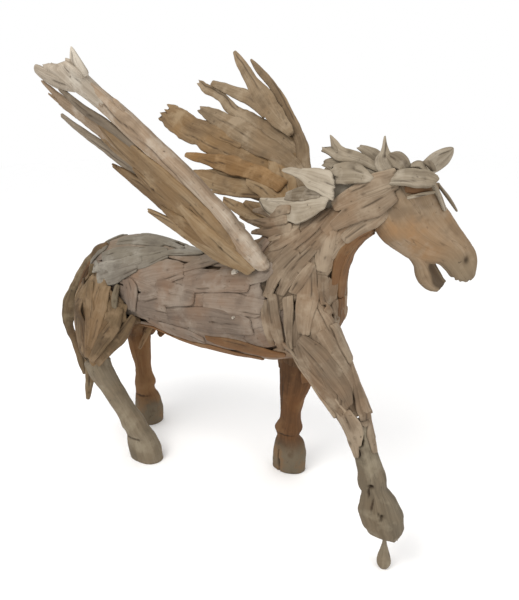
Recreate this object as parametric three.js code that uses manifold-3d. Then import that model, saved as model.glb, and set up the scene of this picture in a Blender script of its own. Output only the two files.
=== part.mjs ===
// Winged driftwood horse: a life-like walking horse put together from weathered driftwood.
// Millimetres, +Z up, the horse faces +X and its left side is +Y.
// Curved boards form a hollow trunk and neck; the head and the lower legs are carved in one piece each.
import * as THREE from 'three';
import Module from 'manifold-3d';

const wasm = await Module();
wasm.setup();

// ---------- driving dimensions ----------

const boardWall = 52;             // thickness of the curved trunk boards
const seamGap = 5;                // open seam between neighbouring boards
const seamTurn = 1;               // half a long seam, in degrees round the trunk
const stationLength = 80;         // usual distance between two stations of the trunk
const fitGap = 0.5;               // clearance where one piece is cut to its neighbour
const skinGap = 7;                // clearance over the curved trunk boards
const trunkSides = 24;            // facets round the trunk
const limbSides = 12;             // facets round a leg
const headSides = 16;             // facets round the head
const plankSides = 8;             // facets round a plank, stick or feather
const boardFacet = 17;            // degrees of the trunk under one facet of a board
const leastReach = 8;             // smallest half size of a hollowed section
const mergeWithin = 0.05;         // corners this close to a straight edge are left out
const sectionPower = 2.25;        // roundness of trunk, leg and head sections: 2 is an ellipse
const plankPower = 2.8;           // the same for planks, sticks and feathers, which are squarer
const browTaper = 0.22;           // how much narrower the face is than the jaw

const headHinge = [839, 50, 1428];   // poll, where the head turns on the neck
const headTurn = 15;                 // degrees that the head looks to the horse's left

const raisedSole = 140;              // height of the lifted near fore hoof
const pegPlace = [912, -240];        // the peg under that hoof

// ---------- colours of the weathered wood ----------

const greyWood = 0x8d8377;
const sunWood = 0xa8967f;
const warmWood = 0x9a7350;
const brownWood = 0x7b5f46;
const shadeWood = 0x6a5a4a;

// ---------- small helpers ----------

const radians = (degrees) => degrees * Math.PI / 180;
const clamp = (value, low, high) => Math.min(Math.max(value, low), high);

// Smooth curve through rows of numbers: t runs from 0 at the first row to rows - 1 at the last.
function track(rows) {
  const last = rows.length - 1;
  return (t) => {
    const place = clamp(t, 0, last);
    const i = Math.min(Math.floor(place), last - 1);
    const f = place - i;
    const before = rows[Math.max(i - 1, 0)];
    const from = rows[i];
    const to = rows[i + 1];
    const after = rows[Math.min(i + 2, last)];
    return from.map((value, k) => {
      const slopeIn = (to[k] - before[k]) / 2;
      const slopeOut = (after[k] - value) / 2;
      const h1 = f * f * (3 - 2 * f);
      const h2 = f * (1 - f) * (1 - f);
      const h3 = f * f * (f - 1);
      return value + (to[k] - value) * h1 + slopeIn * h2 + slopeOut * h3;
    });
  };
}

// A value of a short list, read smoothly at the fraction f of its length.
const along = (list, f) => track(list.map((value) => [value]))(f * (list.length - 1))[0];

// Point of a rounded section: power 2 is an ellipse, larger powers are squarer.
function rounded(angle, power) {
  const c = Math.cos(angle);
  const s = Math.sin(angle);
  const shape = (v) => Math.sign(v) * Math.abs(v) ** (2 / power);
  return [shape(c), shape(s)];
}

// Closed solid from rings of points with equal counts, closed by a fan at each end.
function loft(rings) {
  const sides = rings[0].length;
  const points = rings.flat();
  const triangles = [];
  for (let r = 0; r < rings.length - 1; r += 1) {
    for (let k = 0; k < sides; k += 1) {
      const a = r * sides + k;
      const b = r * sides + (k + 1) % sides;
      triangles.push([a, b, b + sides], [a, b + sides, a + sides]);
    }
  }
  [0, rings.length - 1].forEach((r) => {
    const centre = new THREE.Vector3();
    rings[r].forEach((p) => centre.add(p));
    points.push(centre.divideScalar(sides));
    for (let k = 0; k < sides; k += 1) {
      const a = r * sides + k;
      const b = r * sides + (k + 1) % sides;
      triangles.push(r === 0 ? [b, a, points.length - 1] : [a, b, points.length - 1]);
    }
  });
  return solidFrom(points, triangles);
}

// Closed solid from rings that run out along one face and back along the other: the ends are
// closed by strips between the two faces.
function stripLoft(rings) {
  const sides = rings[0].length;
  const half = sides / 2;
  const points = rings.flat();
  const triangles = [];
  for (let r = 0; r < rings.length - 1; r += 1) {
    for (let k = 0; k < sides; k += 1) {
      const a = r * sides + k;
      const b = r * sides + (k + 1) % sides;
      const c = b + sides;
      const d = a + sides;
      // Both long edges are split from inner to outer corner, so neighbours fit face to face.
      triangles.push(...(k === half - 1 ? [[a, b, d], [b, c, d]] : [[a, b, c], [a, c, d]]));
    }
  }
  [0, rings.length - 1].forEach((r) => {
    for (let k = 0; k < half - 1; k += 1) {
      const a = r * sides + k;
      const b = r * sides + sides - 1 - k;
      const quad = [[a, b, b - 1], [a, b - 1, a + 1]];
      triangles.push(...(r === 0 ? quad : quad.map(([x, y, z]) => [z, y, x])));
    }
  });
  return solidFrom(points, triangles);
}

// Manifold solid from points and triangles, turned right side out.
function solidFrom(points, triangles) {
  let volume = 0;
  triangles.forEach(([a, b, c]) => {
    volume += points[a].dot(new THREE.Vector3().crossVectors(points[b], points[c]));
  });
  const order = volume > 0 ? triangles : triangles.map(([a, b, c]) => [a, c, b]);
  return new wasm.Manifold(new wasm.Mesh({
    numProp: 3,
    vertProperties: Float32Array.from(points.flatMap((p) => p.toArray())),
    triVerts: Uint32Array.from(order.flat()),
  }));
}

// ---------- pieces already standing, used to cut the next one to them ----------

const sculpture = new THREE.Group();
const standing = [];

const boxesMeet = (a, b) => [0, 1, 2].every((k) => a.min[k] < b.max[k] && b.min[k] < a.max[k]);

function largestPart(solid) {
  const parts = solid.decompose();
  return parts.reduce((best, part) => (part.volume() > best.volume() ? part : best), parts[0]);
}

function addMesh(name, colour, solid) {
  const { vertProperties, triVerts } = solid.getMesh();
  const geometry = new THREE.BufferGeometry();
  geometry.setAttribute('position', new THREE.BufferAttribute(Float32Array.from(vertProperties), 3));
  geometry.setIndex(new THREE.BufferAttribute(Uint32Array.from(triVerts), 1));
  const material = new THREE.MeshStandardMaterial({ color: colour, roughness: 0.85, metalness: 0 });
  const mesh = new THREE.Mesh(geometry, material);
  mesh.name = name;
  sculpture.add(mesh);
}

// make(grow) gives the piece with every wall moved out by grow; grown pieces cut the later ones.
function place(name, colour, make) {
  let solid = make(0);
  const box = solid.boundingBox();
  standing.filter((other) => boxesMeet(box, other.box)).forEach((other) => {
    solid = solid.subtract(other.cutter);
  });
  solid = largestPart(solid).simplify(mergeWithin);
  addMesh(name, colour, solid);
  const cutter = make(fitGap);
  standing.push({ cutter, box: cutter.boundingBox() });
}

// ---------- trunk and neck ----------

// Stations of the trunk, from the rump to the poll: top x, top z, bottom x, bottom z, side shift and
// half width.
const trunkRows = [
  [-740, 985, -716, 900, 0, 58],
  [-702, 1048, -655, 800, 0, 118],
  [-610, 1106, -575, 722, 0, 160],
  [-500, 1136, -460, 690, 0, 182],
  [-396, 1136, -375, 688, 0, 190],
  [-290, 1116, -290, 690, 0, 194],
  [-188, 1090, -190, 672, 0, 200],
  [-73, 1076, -75, 655, 0, 206],
  [50, 1078, 60, 650, 0, 208],
  [150, 1094, 195, 648, 0, 203],
  [225, 1140, 335, 655, 0, 194],
  [275, 1180, 465, 690, 0, 184],
  [315, 1216, 572, 775, 0, 176],
  [365, 1248, 616, 868, 2, 158],
  [430, 1280, 614, 960, 6, 138],
  [505, 1310, 620, 1048, 12, 116],
  [590, 1340, 642, 1132, 22, 98],
  [680, 1370, 686, 1194, 34, 86],
  [770, 1400, 744, 1234, 44, 76],
];
const trunkEnd = trunkRows.length - 1;
const trunkAt = track(trunkRows);

// Point of the trunk: station u, angle from the top line (near side positive), depth under the surface.
function trunkPoint(u, degrees, depth) {
  const [topX, topZ, bottomX, bottomZ, y, width] = trunkAt(u);
  const middle = new THREE.Vector3((topX + bottomX) / 2, y, (topZ + bottomZ) / 2);
  const up = new THREE.Vector3(topX - bottomX, 0, topZ - bottomZ).divideScalar(2);
  const high = up.length();
  const [c, s] = rounded(radians(degrees), sectionPower);
  const upReach = Math.max(high - depth, leastReach) / high;
  const sideReach = Math.max(width - depth, leastReach);
  return middle.addScaledVector(up, c * upReach).add(new THREE.Vector3(0, -s * sideReach, 0));
}

// Whole trunk with its skin moved out by grow, which cuts every later piece to the boards.
function trunkSolid(grow) {
  const rings = [];
  for (let u = 0; u <= trunkEnd; u += 1) {
    const ring = [];
    for (let k = 0; k < trunkSides; k += 1) {
      ring.push(trunkPoint(u, 360 * k / trunkSides, -grow));
    }
    rings.push(ring);
  }
  rings[0].forEach((point) => point.add(new THREE.Vector3(-grow, 0, 0)));
  return loft(rings);
}

// Long seams wander along the body by some degrees, and cross seams lean by part of a station. The
// factors inside the two waves only keep neighbouring seams from running alike.
const seamWander = 5;
const seamLean = 0.3;
const longSeam = (degrees, u) => degrees + seamWander * Math.sin(0.55 * u + radians(3 * degrees));
const crossSeam = (u, degrees) => u + seamLean * Math.sin(radians(2.2 * degrees) + 2.1 * u);

// Curved board between two cross seams and two long seams, its wall boardWall thick.
function curvedBoard(fromU, toU, fromAngle, toAngle) {
  const rows = Math.max(2, Math.round((toAngle - fromAngle) / boardFacet));
  const bases = Array.from({ length: rows + 1 }, (_, k) => fromAngle + (toAngle - fromAngle) * k / rows);
  const inset = seamGap / 2 / stationLength;
  const starts = bases.map((base) => (fromU === 0 ? 0 : crossSeam(fromU, base) + inset));
  const ends = bases.map((base) => (toU === trunkEnd ? trunkEnd : crossSeam(toU, base) - inset));
  const columns = [starts];
  const nearSeam = 0.1;
  for (let u = Math.ceil(Math.max(...starts) + nearSeam); u < Math.min(...ends) - nearSeam; u += 1) {
    columns.push(bases.map(() => u));
  }
  columns.push(ends);
  const corner = (i, k, depth) => {
    const u = columns[i][k];
    const low = longSeam(fromAngle, u) + seamTurn;
    const high = longSeam(toAngle, u) - seamTurn;
    return trunkPoint(u, low + (high - low) * k / rows, depth);
  };
  const rings = [];
  for (let i = 0; i < columns.length; i += 1) {
    const ring = [];
    for (let k = 0; k <= rows; k += 1) ring.push(corner(i, k, 0));
    for (let k = rows; k >= 0; k -= 1) ring.push(corner(i, k, boardWall));
    rings.push(ring);
  }
  return stripLoft(rings);
}

// Rows of boards round the body: the two angles of each row, then its cross seams and its boards.
const boardRows = [
  { from: -34, to: 34, seams: [0, 4.6, 10.2, 13.6, 18],
    boards: ['croup_top', 'back', 'withers', 'crest'] },
  { from: 34, to: 88, seams: [0, 5.3, 11.2, 18],
    boards: ['croup_near', 'rib_near_upper', 'neck_near'] },
  { from: 88, to: 148, seams: [0, 4.2, 8.2, 12.6, 18],
    boards: ['hip_near', 'rib_near_rear', 'rib_near_front', 'gullet_near'] },
  { from: 148, to: 212, seams: [0, 5.4, 11.8, 18],
    boards: ['groin', 'belly', 'throat'] },
  { from: 212, to: 272, seams: [0, 4.6, 12.2, 18],
    boards: ['hip_far', 'rib_far', 'gullet_far'] },
  { from: 272, to: 326, seams: [0, 5.0, 11.0, 18],
    boards: ['croup_far', 'rib_far_upper', 'neck_far'] },
];

function addTrunk(head) {
  boardRows.forEach(({ from, to, seams, boards }, row) => {
    boards.forEach((name, k) => {
      const board = largestPart(curvedBoard(seams[k], seams[k + 1], from, to).subtract(head));
      addMesh(`${name}_board`, [greyWood, sunWood, warmWood][(row + k) % 3], board);
    });
  });
  const cutter = trunkSolid(skinGap);
  standing.push({ cutter, box: cutter.boundingBox() });
}

// ---------- legs ----------

// Limb from rows: x, z, y, half depth fore and aft, half width, tilt of the section in degrees.
function limb(rows, grow) {
  const rings = rows.map(([x, z, y, deep, wide, tilt]) => {
    const ring = [];
    for (let k = 0; k < limbSides; k += 1) {
      const [c, s] = rounded(2 * Math.PI * k / limbSides, sectionPower);
      const reach = c * (deep + grow);
      ring.push(new THREE.Vector3(
        x + reach * Math.cos(radians(tilt)),
        y + s * (wide + grow),
        z + reach * Math.sin(radians(tilt)),
      ));
    }
    return ring;
  });
  return loft(rings);
}

// Carved lower legs, from the hock or knee down to the flat sole.
const nearHindRows = [
  [-664, 505, -165, 74, 56, 15],
  [-642, 440, -163, 70, 56, 30],
  [-592, 372, -160, 57, 50, 38],
  [-541, 300, -157, 52, 48, 38],
  [-492, 236, -154, 53, 48, 36],
  [-465, 192, -151, 64, 55, 28],
  [-435, 154, -149, 60, 52, 20],
  [-418, 122, -147, 78, 60, 12],
  [-402, 62, -146, 96, 68, 5],
  [-392, 0, -146, 96, 62, 0],
];
const farHindRows = [
  [-682, 520, 162, 78, 54, 0],
  [-676, 430, 160, 62, 48, 0],
  [-666, 340, 158, 48, 42, 0],
  [-662, 290, 156, 50, 44, 0],
  [-656, 240, 154, 66, 54, 0],
  [-664, 198, 153, 52, 48, 0],
  [-648, 160, 152, 74, 60, 0],
  [-642, 80, 151, 88, 72, 0],
  [-646, 0, 150, 82, 70, 0],
];
const farForeRows = [
  [348, 560, 140, 92, 58, 0],
  [330, 456, 140, 76, 54, 0],
  [316, 387, 140, 60, 48, 0],
  [308, 320, 140, 50, 44, 0],
  [304, 275, 140, 52, 46, 0],
  [294, 225, 140, 70, 56, 0],
  [290, 184, 140, 54, 48, 0],
  [298, 150, 140, 74, 60, 0],
  [296, 90, 140, 84, 68, 0],
  [290, 0, 140, 86, 60, 0],
];
const nearForeRows = [
  [768, 556, -195, 55, 50, 32],
  [788, 506, -198, 46, 47, 26],
  [809, 452, -203, 43, 45, 22],
  [830, 394, -209, 47, 46, 20],
  [845, 346, -216, 57, 50, 18],
  [858, 312, -221, 46, 44, 14],
  [872, 282, -226, 66, 56, 8],
  [888, 232, -232, 87, 66, 2],
  [902, 180, -238, 78, 60, 0],
  [910, raisedSole, -240, 50, 36, 0],
];

// Staves over the upper legs: they run from inside the body line down to the carved lower leg.
const nearForearmRows = [
  [440, 1040, -78, 70, 50, 30],
  [500, 940, -120, 104, 66, 32],
  [560, 846, -146, 112, 76, 36],
  [628, 750, -164, 94, 70, 38],
  [694, 660, -180, 74, 60, 38],
  [766, 560, -194, 57, 51, 33],
];
const farForearmRows = [
  [380, 850, 110, 140, 66, 0],
  [372, 750, 126, 132, 68, 0],
  [360, 650, 137, 112, 64, 0],
  [348, 561, 140, 94, 59, 0],
];
const nearThighRows = [
  [-500, 985, -96, 150, 80, 0],
  [-545, 870, -136, 204, 92, 0],
  [-572, 750, -156, 206, 86, 8],
  [-620, 640, -164, 156, 72, 16],
  [-656, 560, -166, 106, 62, 18],
  [-665, 507, -165, 77, 57, 15],
];
const farThighRows = nearThighRows.map(([x, z, y, deep, wide], k) => (
  [x - 2 * k, z + 3 * k, -y, deep, wide, 0]
));

function addLegs() {
  place('near_fore_lower_leg', greyWood, (g) => limb(nearForeRows, g));
  place('far_fore_lower_leg', shadeWood, (g) => limb(farForeRows, g));
  place('near_hind_lower_leg', greyWood, (g) => limb(nearHindRows, g));
  place('far_hind_lower_leg', shadeWood, (g) => limb(farHindRows, g));
  place('near_forearm', greyWood, (g) => limb(nearForearmRows, g));
  place('far_forearm', brownWood, (g) => limb(farForearmRows, g));
  place('near_thigh', warmWood, (g) => limb(nearThighRows, g));
  place('far_thigh', brownWood, (g) => limb(farThighRows, g));
}

// ---------- head ----------

// Head profile in its own upright plane, s forward from the poll and z up from it:
// face s, face z, jaw s, jaw z, half width.
const skullRows = [
  [-10, 36, -56, -70, 46],
  [38, 42, -98, -128, 64],
  [72, 8, -112, -172, 72],
  [99, -24, -103, -198, 75],
  [114, -58, -74, -234, 74],
  [127, -92, -26, -268, 69],
  [150, -126, 22, -298, 61],
  [169, -154, 60, -314, 54],
  [190, -182, 92, -312, 47],
  [210, -209, 122, -311, 43],
  [231, -240, 144, -330, 41],
  [247, -270, 166, -354, 41],
  [254, -306, 192, -374, 38],
  [252, -344, 226, -376, 26],
];
const jawRows = [
  [78, -258, 10, -284, 44],
  [116, -308, 34, -318, 38],
  [136, -338, 44, -354, 35],
  [150, -362, 62, -390, 33],
  [160, -376, 92, -414, 29],
  [156, -390, 124, -418, 18],
];

function headPlace(s, side, z) {
  const turn = radians(headTurn);
  return new THREE.Vector3(
    headHinge[0] + s * Math.cos(turn) - side * Math.sin(turn),
    headHinge[1] + s * Math.sin(turn) + side * Math.cos(turn),
    headHinge[2] + z,
  );
}

function headLoft(rows, grow) {
  const rings = rows.map(([faceS, faceZ, jawS, jawZ, width]) => {
    const high = Math.hypot(faceS - jawS, faceZ - jawZ) / 2;
    const reach = (high + grow) / high;
    const ring = [];
    for (let k = 0; k < headSides; k += 1) {
      const [c, s] = rounded(2 * Math.PI * k / headSides, sectionPower);
      const narrow = 1 - browTaper * Math.max(c, 0);
      ring.push(headPlace(
        (faceS + jawS) / 2 + c * reach * (faceS - jawS) / 2,
        s * (width + grow) * narrow,
        (faceZ + jawZ) / 2 + c * reach * (faceZ - jawZ) / 2,
      ));
    }
    return ring;
  });
  return loft(rings);
}

// Egg-shaped hollow or swelling on the head.
function egg(s, side, z, radius, stretch) {
  const ball = new THREE.IcosahedronGeometry(radius, 1);
  const corners = ball.attributes.position;
  const points = [];
  const triangles = [];
  const known = new Map();
  for (let i = 0; i < corners.count; i += 1) {
    const p = new THREE.Vector3().fromBufferAttribute(corners, i);
    const key = p.toArray().map((v) => v.toFixed(2)).join();
    if (!known.has(key)) {
      known.set(key, points.length);
      points.push(headPlace(s + p.x * stretch[0], side + p.y * stretch[1], z + p.z * stretch[2]));
    }
    if (i % 3 === 0) triangles.push([]);
    triangles[triangles.length - 1].push(known.get(key));
  }
  return solidFrom(points, triangles);
}

function carvedHead(grow) {
  let head = headLoft(skullRows, grow).add(headLoft(jawRows, grow));
  if (grow > 0) return head;
  [-1, 1].forEach((side) => {
    head = head.add(egg(66, side * 60, -108, 20, [1.4, 0.7, 0.6]));
    head = head.subtract(egg(219, side * 44, -286, 9, [0.9, 1.6, 1.2]));
    head = head.subtract(egg(74, side * 76, -134, 14, [1.4, 0.7, 0.8]));
  });
  return head;
}

// ---------- planks, sticks and feathers ----------

// Plank along a smooth path, broad face turned to the given direction. Half width and half
// thickness are short lists read from root to tip; notch makes the edges worn and uneven, in a
// wave of wearTurn radians from root to tip.
const wearTurn = 9.7;
const aside = 0.02;               // share of the path before and after a point that gives its run

function plank({ path, half, thick, face, notch = 0, steps = 7 }, grow) {
  const at = track(path);
  const rings = [];
  for (let i = 0; i <= steps; i += 1) {
    const f = i / steps;
    const point = new THREE.Vector3(...at(f * (path.length - 1)));
    const ahead = new THREE.Vector3(...at(Math.min(f + aside, 1) * (path.length - 1)));
    const behind = new THREE.Vector3(...at(Math.max(f - aside, 0) * (path.length - 1)));
    const run = ahead.sub(behind).normalize();
    const across = new THREE.Vector3().crossVectors(run, face).normalize();
    const up = new THREE.Vector3().crossVectors(across, run);
    const worn = 1 + notch * Math.sin(wearTurn * f + path[0][0]);
    const wide = along(half, f) * worn + grow;
    const deep = along(thick, f) + grow;
    const ring = [];
    for (let k = 0; k < plankSides; k += 1) {
      const [c, s] = rounded(2 * Math.PI * (k + 0.5) / plankSides, plankPower);
      ring.push(point.clone().addScaledVector(across, c * wide).addScaledVector(up, s * deep));
    }
    rings.push(ring);
  }
  return loft(rings);
}

// ---------- wings ----------

// A wing lies in its own slanting plane: s runs up the leading log, c back across the feathers and
// n out of the plane. The far wing is the mirror image of the near one, set a little higher.
const wingReach = new THREE.Vector3(-0.615, -0.374, 0.694).normalize();
const wingBack = new THREE.Vector3(-0.788, 0.321, -0.525).normalize();
const wingOut = new THREE.Vector3().crossVectors(wingReach, wingBack);
const nearWingRoot = new THREE.Vector3(395, -185, 1125);
const farWingRoot = new THREE.Vector3(330, 175, 1290);
const mirror = new THREE.Vector3(1, -1, 1);

function wingPoint(side, [s, c, n]) {
  const point = new THREE.Vector3();
  point.addScaledVector(wingReach, s).addScaledVector(wingBack, c).addScaledVector(wingOut, n);
  if (side > 0) point.multiply(mirror);
  return point.add(side > 0 ? farWingRoot : nearWingRoot).toArray();
}

function feather(side, { path, half, thick = [10, 11, 9, 3], notch = 0.06, steps = 7 }, grow) {
  const face = wingOut.clone();
  if (side > 0) face.multiply(mirror);
  return plank({ path: path.map((p) => wingPoint(side, p)), half, thick, face, notch, steps }, grow);
}

const nearLog = {
  path: [[-22, 40, 0], [60, 30, 0], [200, -12, 0], [400, -46, 0], [600, -58, 0], [780, -56, 0],
    [935, -42, 0]],
  half: [18, 42, 44, 40, 38, 38, 32],
  thick: [12, 30, 31, 27, 26, 25, 14],
  steps: 11,
};
const nearProng = {
  path: [[860, -40, 0], [940, 0, 4], [1010, 36, 6], [1062, 56, 4]],
  half: [30, 30, 22, 6],
  thick: [14, 18, 16, 5],
  steps: 5,
};
const nearHorn = {
  path: [[850, -60, 0], [905, -92, -4], [962, -146, -8]],
  half: [34, 34, 4],
  thick: [14, 12, 3],
  steps: 4,
};

const nearFeathers = [
  { path: [[930, 18, 16], [780, 16, 16], [600, 20, 14], [470, 30, 10]],
    half: [4, 22, 30, 20] },
  { path: [[1020, 108, -2], [860, 80, -4], [620, 66, -10], [380, 68, -26], [140, 60, -44]],
    half: [10, 36, 56, 64, 52] },
  { path: [[918, 188, -30], [778, 146, -30], [560, 138, -34], [340, 120, -46], [130, 104, -66]],
    half: [5, 14, 44, 60, 50] },
  { path: [[662, 212, -12], [520, 176, -12], [330, 140, -10], [110, 98, -14]],
    half: [4, 38, 62, 52] },
  { path: [[467, 258, 14], [340, 196, 14], [210, 152, 14], [60, 110, 12]],
    half: [4, 38, 58, 44] },
];

const farLeader = {
  path: [[844, -101, 2], [690, -138, 2], [460, -158, 0], [250, -130, 4], [90, -70, 18], [-90, 20, 44]],
  half: [3, 20, 18, 26, 34, 34],
  thick: [3, 10, 12, 14, 18, 18],
  steps: 9,
};
const farFork = {
  path: [[926, -50, -24], [810, -66, -24], [650, -80, -24], [500, -86, -24], [330, -112, -24]],
  half: [4, 34, 46, 52, 20],
};
const farForkBranch = {
  path: [[852, 112, -24], [740, 58, -24], [600, -6, -24], [470, -64, -24]],
  half: [7, 22, 30, 18],
};

const farFeathers = [
  { path: [[935, 184, -2], [860, 160, -2], [740, 116, 0], [560, 34, 6], [340, -54, 20], [60, -20, 44]],
    half: [5, 20, 22, 28, 36, 36] },
  { path: [[768, 222, -2], [620, 140, -4], [450, 52, -12], [210, -70, -26]],
    half: [6, 40, 44, 30] },
  { path: [[908, 408, 2], [800, 356, 2], [606, 242, 2], [390, 112, 0], [190, -6, 0], [-60, 40, 30]],
    half: [40, 64, 58, 48, 38, 34] },
  { path: [[582, 382, -14], [450, 262, -14], [290, 122, -20], [120, -10, -28]],
    half: [6, 36, 34, 28] },
  { path: [[490, 388, 16], [350, 288, 16], [180, 132, 14], [20, 60, 20]],
    half: [6, 48, 46, 36] },
];

function addWings() {
  place('near_wing_log', sunWood, (g) => (
    feather(-1, nearLog, g).add(feather(-1, nearProng, g)).add(feather(-1, nearHorn, g))
  ));
  nearFeathers.forEach((shape, k) => {
    place(`near_wing_feather_${k + 1}`, k % 2 ? warmWood : greyWood, (g) => feather(-1, shape, g));
  });
  place('far_wing_leader', brownWood, (g) => feather(1, farLeader, g));
  place('far_wing_forked_board', warmWood, (g) => (
    feather(1, farFork, g).add(feather(1, farForkBranch, g))
  ));
  farFeathers.forEach((shape, k) => {
    place(`far_wing_feather_${k + 1}`, k % 2 ? brownWood : warmWood, (g) => feather(1, shape, g));
  });
}

// ---------- ears, forelock and mane ----------

// Ears and forelock sticks in the head's own plane: forward, sideways and up from the poll.
const headPieces = {
  near_ear: {
    path: [[-30, -58, -6], [10, -74, -4], [60, -84, -6], [98, -86, -12]],
    half: [24, 36, 34, 16],
    thick: [12, 14, 13, 7],
    face: [0.2, -0.5, 0.85],
    steps: 6,
  },
  far_ear: {
    path: [[56, 40, 10], [92, 50, 40], [128, 58, 70], [144, 60, 86]],
    half: [26, 34, 28, 8],
    thick: [12, 13, 10, 4],
    face: [0.45, -0.85, -0.3],
    steps: 6,
  },
  forelock_stick_1: {
    path: [[80, -14, -24], [106, -16, -62], [138, -18, -118]],
    half: [10, 9, 5],
    thick: [7, 6, 4],
    face: [0.8, 0, 0.6],
    steps: 4,
  },
  forelock_stick_2: {
    path: [[104, 18, -30], [136, 20, -74], [172, 22, -126]],
    half: [10, 9, 5],
    thick: [7, 6, 4],
    face: [0.8, 0, 0.6],
    steps: 4,
  },
};

function addHeadPieces() {
  const origin = headPlace(0, 0, 0);
  Object.entries(headPieces).forEach(([name, shape]) => {
    const face = headPlace(...shape.face).sub(origin);
    const path = shape.path.map((spot) => headPlace(...spot).toArray());
    place(name, sunWood, (g) => plank({ ...shape, path, face }, g));
  });
}

// Mane offcuts stand on the crest and point up and back: root to tip.
const maneShapes = [
  { path: [[768, 20, 1410], [762, 20, 1490], [759, 20, 1564]],
    half: [26, 18, 3],
    thick: [14, 11, 3] },
  { path: [[792, 0, 1418], [700, 4, 1466], [566, 10, 1534]],
    half: [20, 30, 8],
    thick: [12, 12, 5] },
  { path: [[770, 46, 1420], [712, 44, 1480], [654, 42, 1532]],
    half: [22, 22, 5],
    thick: [12, 10, 4] },
  { path: [[720, -30, 1392], [620, -24, 1420], [524, -14, 1466]],
    half: [30, 34, 6],
    thick: [13, 12, 5] },
  { path: [[610, -62, 1350], [520, -52, 1390], [389, -36, 1452]],
    half: [14, 42, 8],
    thick: [10, 13, 5] },
  { path: [[590, -94, 1312], [480, -84, 1322], [290, -50, 1336]],
    half: [14, 44, 10],
    thick: [10, 13, 5] },
];

function addMane() {
  const face = new THREE.Vector3(0.2, -0.9, 0.35);
  const notch = 0.12;
  maneShapes.forEach((shape, k) => {
    const colour = k % 2 ? sunWood : greyWood;
    place(`mane_offcut_${k + 1}`, colour, (g) => plank({ ...shape, face, notch, steps: 5 }, g));
  });
}

// ---------- tail ----------

// Tail strands from the rump to their ends.
const tailShapes = [
  { path: [[-690, -20, 1044], [-780, -22, 950], [-890, -22, 824], [-1016, -20, 684],
    [-1048, -20, 576], [-990, -20, 430], [-940, -20, 310]],
  half: [20, 32, 34, 30, 26, 22, 9],
  thick: [16, 24, 26, 24, 20, 18, 8],
  steps: 11 },
  { path: [[-690, 24, 1020], [-780, 14, 890], [-850, 0, 737], [-880, -16, 588],
    [-894, -20, 451], [-916, -20, 350]],
  half: [18, 38, 46, 40, 30, 12],
  thick: [16, 26, 30, 28, 22, 10],
  steps: 9 },
  { path: [[-668, -70, 1010], [-722, -88, 930], [-790, -98, 780], [-838, -92, 640], [-872, -74, 500]],
    half: [14, 30, 34, 30, 14],
    thick: [12, 22, 24, 20, 10],
    steps: 8 },
  { path: [[-905, 24, 440], [-920, 14, 350], [-926, 0, 260], [-955, -14, 134]],
    half: [14, 22, 20, 7],
    thick: [10, 14, 12, 5],
    steps: 5 },
];

function addTail() {
  const face = new THREE.Vector3(0.62, -0.74, 0.25).normalize();
  tailShapes.forEach((shape, k) => {
    place(`tail_strand_${k + 1}`, k % 2 ? brownWood : greyWood, (g) => plank({ ...shape, face }, g));
  });
}

// ---------- peg under the raised hoof ----------

// Drop-shaped profile: radius and height, from the ground up to the sole.
const pegProfile = [
  [19, 0], [25, 10], [27, 24], [24, 46], [15, 78], [8, 106], [6, raisedSole - fitGap],
];

function addPeg() {
  place('support_peg', shadeWood, (grow) => {
    const rings = pegProfile.map(([radius, z]) => {
      const ring = [];
      for (let k = 0; k < limbSides; k += 1) {
        const angle = 2 * Math.PI * k / limbSides;
        const reach = radius + grow;
        ring.push(new THREE.Vector3(
          pegPlace[0] + reach * Math.cos(angle),
          pegPlace[1] + reach * Math.sin(angle),
          z,
        ));
      }
      return ring;
    });
    return loft(rings);
  });
}

// ---------- assembly ----------

addTrunk(carvedHead(fitGap));
place('head', warmWood, carvedHead);
addLegs();
addPeg();
addHeadPieces();
addMane();
addWings();
addTail();

const extent = new THREE.Box3().setFromObject(sculpture);
const centre = extent.getCenter(new THREE.Vector3());
sculpture.position.set(-centre.x, -centre.y, -extent.min.z);
sculpture.updateMatrixWorld(true);

export default sculpture;
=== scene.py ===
import math
import bpy
import numpy as np
from mathutils import Matrix, Vector
from mathutils.bvhtree import BVHTree


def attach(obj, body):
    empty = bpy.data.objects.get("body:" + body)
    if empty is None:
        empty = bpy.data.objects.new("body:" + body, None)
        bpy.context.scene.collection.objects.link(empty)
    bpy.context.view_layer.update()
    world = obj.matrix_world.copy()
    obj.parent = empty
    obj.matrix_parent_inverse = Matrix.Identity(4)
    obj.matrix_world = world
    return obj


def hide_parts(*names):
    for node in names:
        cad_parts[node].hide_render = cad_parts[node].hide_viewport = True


# Winged driftwood horse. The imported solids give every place; the pieces here are the worn,
# cracked and overlapping driftwood that lies on those solids or takes their place.
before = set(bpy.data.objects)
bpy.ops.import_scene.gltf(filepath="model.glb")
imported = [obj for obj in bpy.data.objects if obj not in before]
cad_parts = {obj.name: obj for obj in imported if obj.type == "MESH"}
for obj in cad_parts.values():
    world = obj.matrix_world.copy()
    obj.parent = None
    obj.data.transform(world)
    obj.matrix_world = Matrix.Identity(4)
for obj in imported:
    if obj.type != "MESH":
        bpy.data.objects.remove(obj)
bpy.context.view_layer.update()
mm = 0.001


def smooth(x, low, high):
    # 0 below low, 1 above high, an S-shaped rise between
    t = np.clip((x - low) / (high - low), 0, 1)
    return t * t * (3 - 2 * t)


def noise(x, y, seed):
    # heights -1..1 on a unit lattice, blended by a cubic step between the four corners of each cell
    table = np.random.default_rng(seed).random((64, 64)) * 2 - 1
    i, j = np.floor(x).astype(int), np.floor(y).astype(int)
    f, g = smooth(x - i, 0, 1), smooth(y - j, 0, 1)
    i0, j0, i1, j1 = i % 64, j % 64, (i + 1) % 64, (j + 1) % 64
    low = table[i0, j0] * (1 - f) + table[i1, j0] * f
    high = table[i0, j1] * (1 - f) + table[i1, j1] * f
    return low * (1 - g) + high * g


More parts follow.
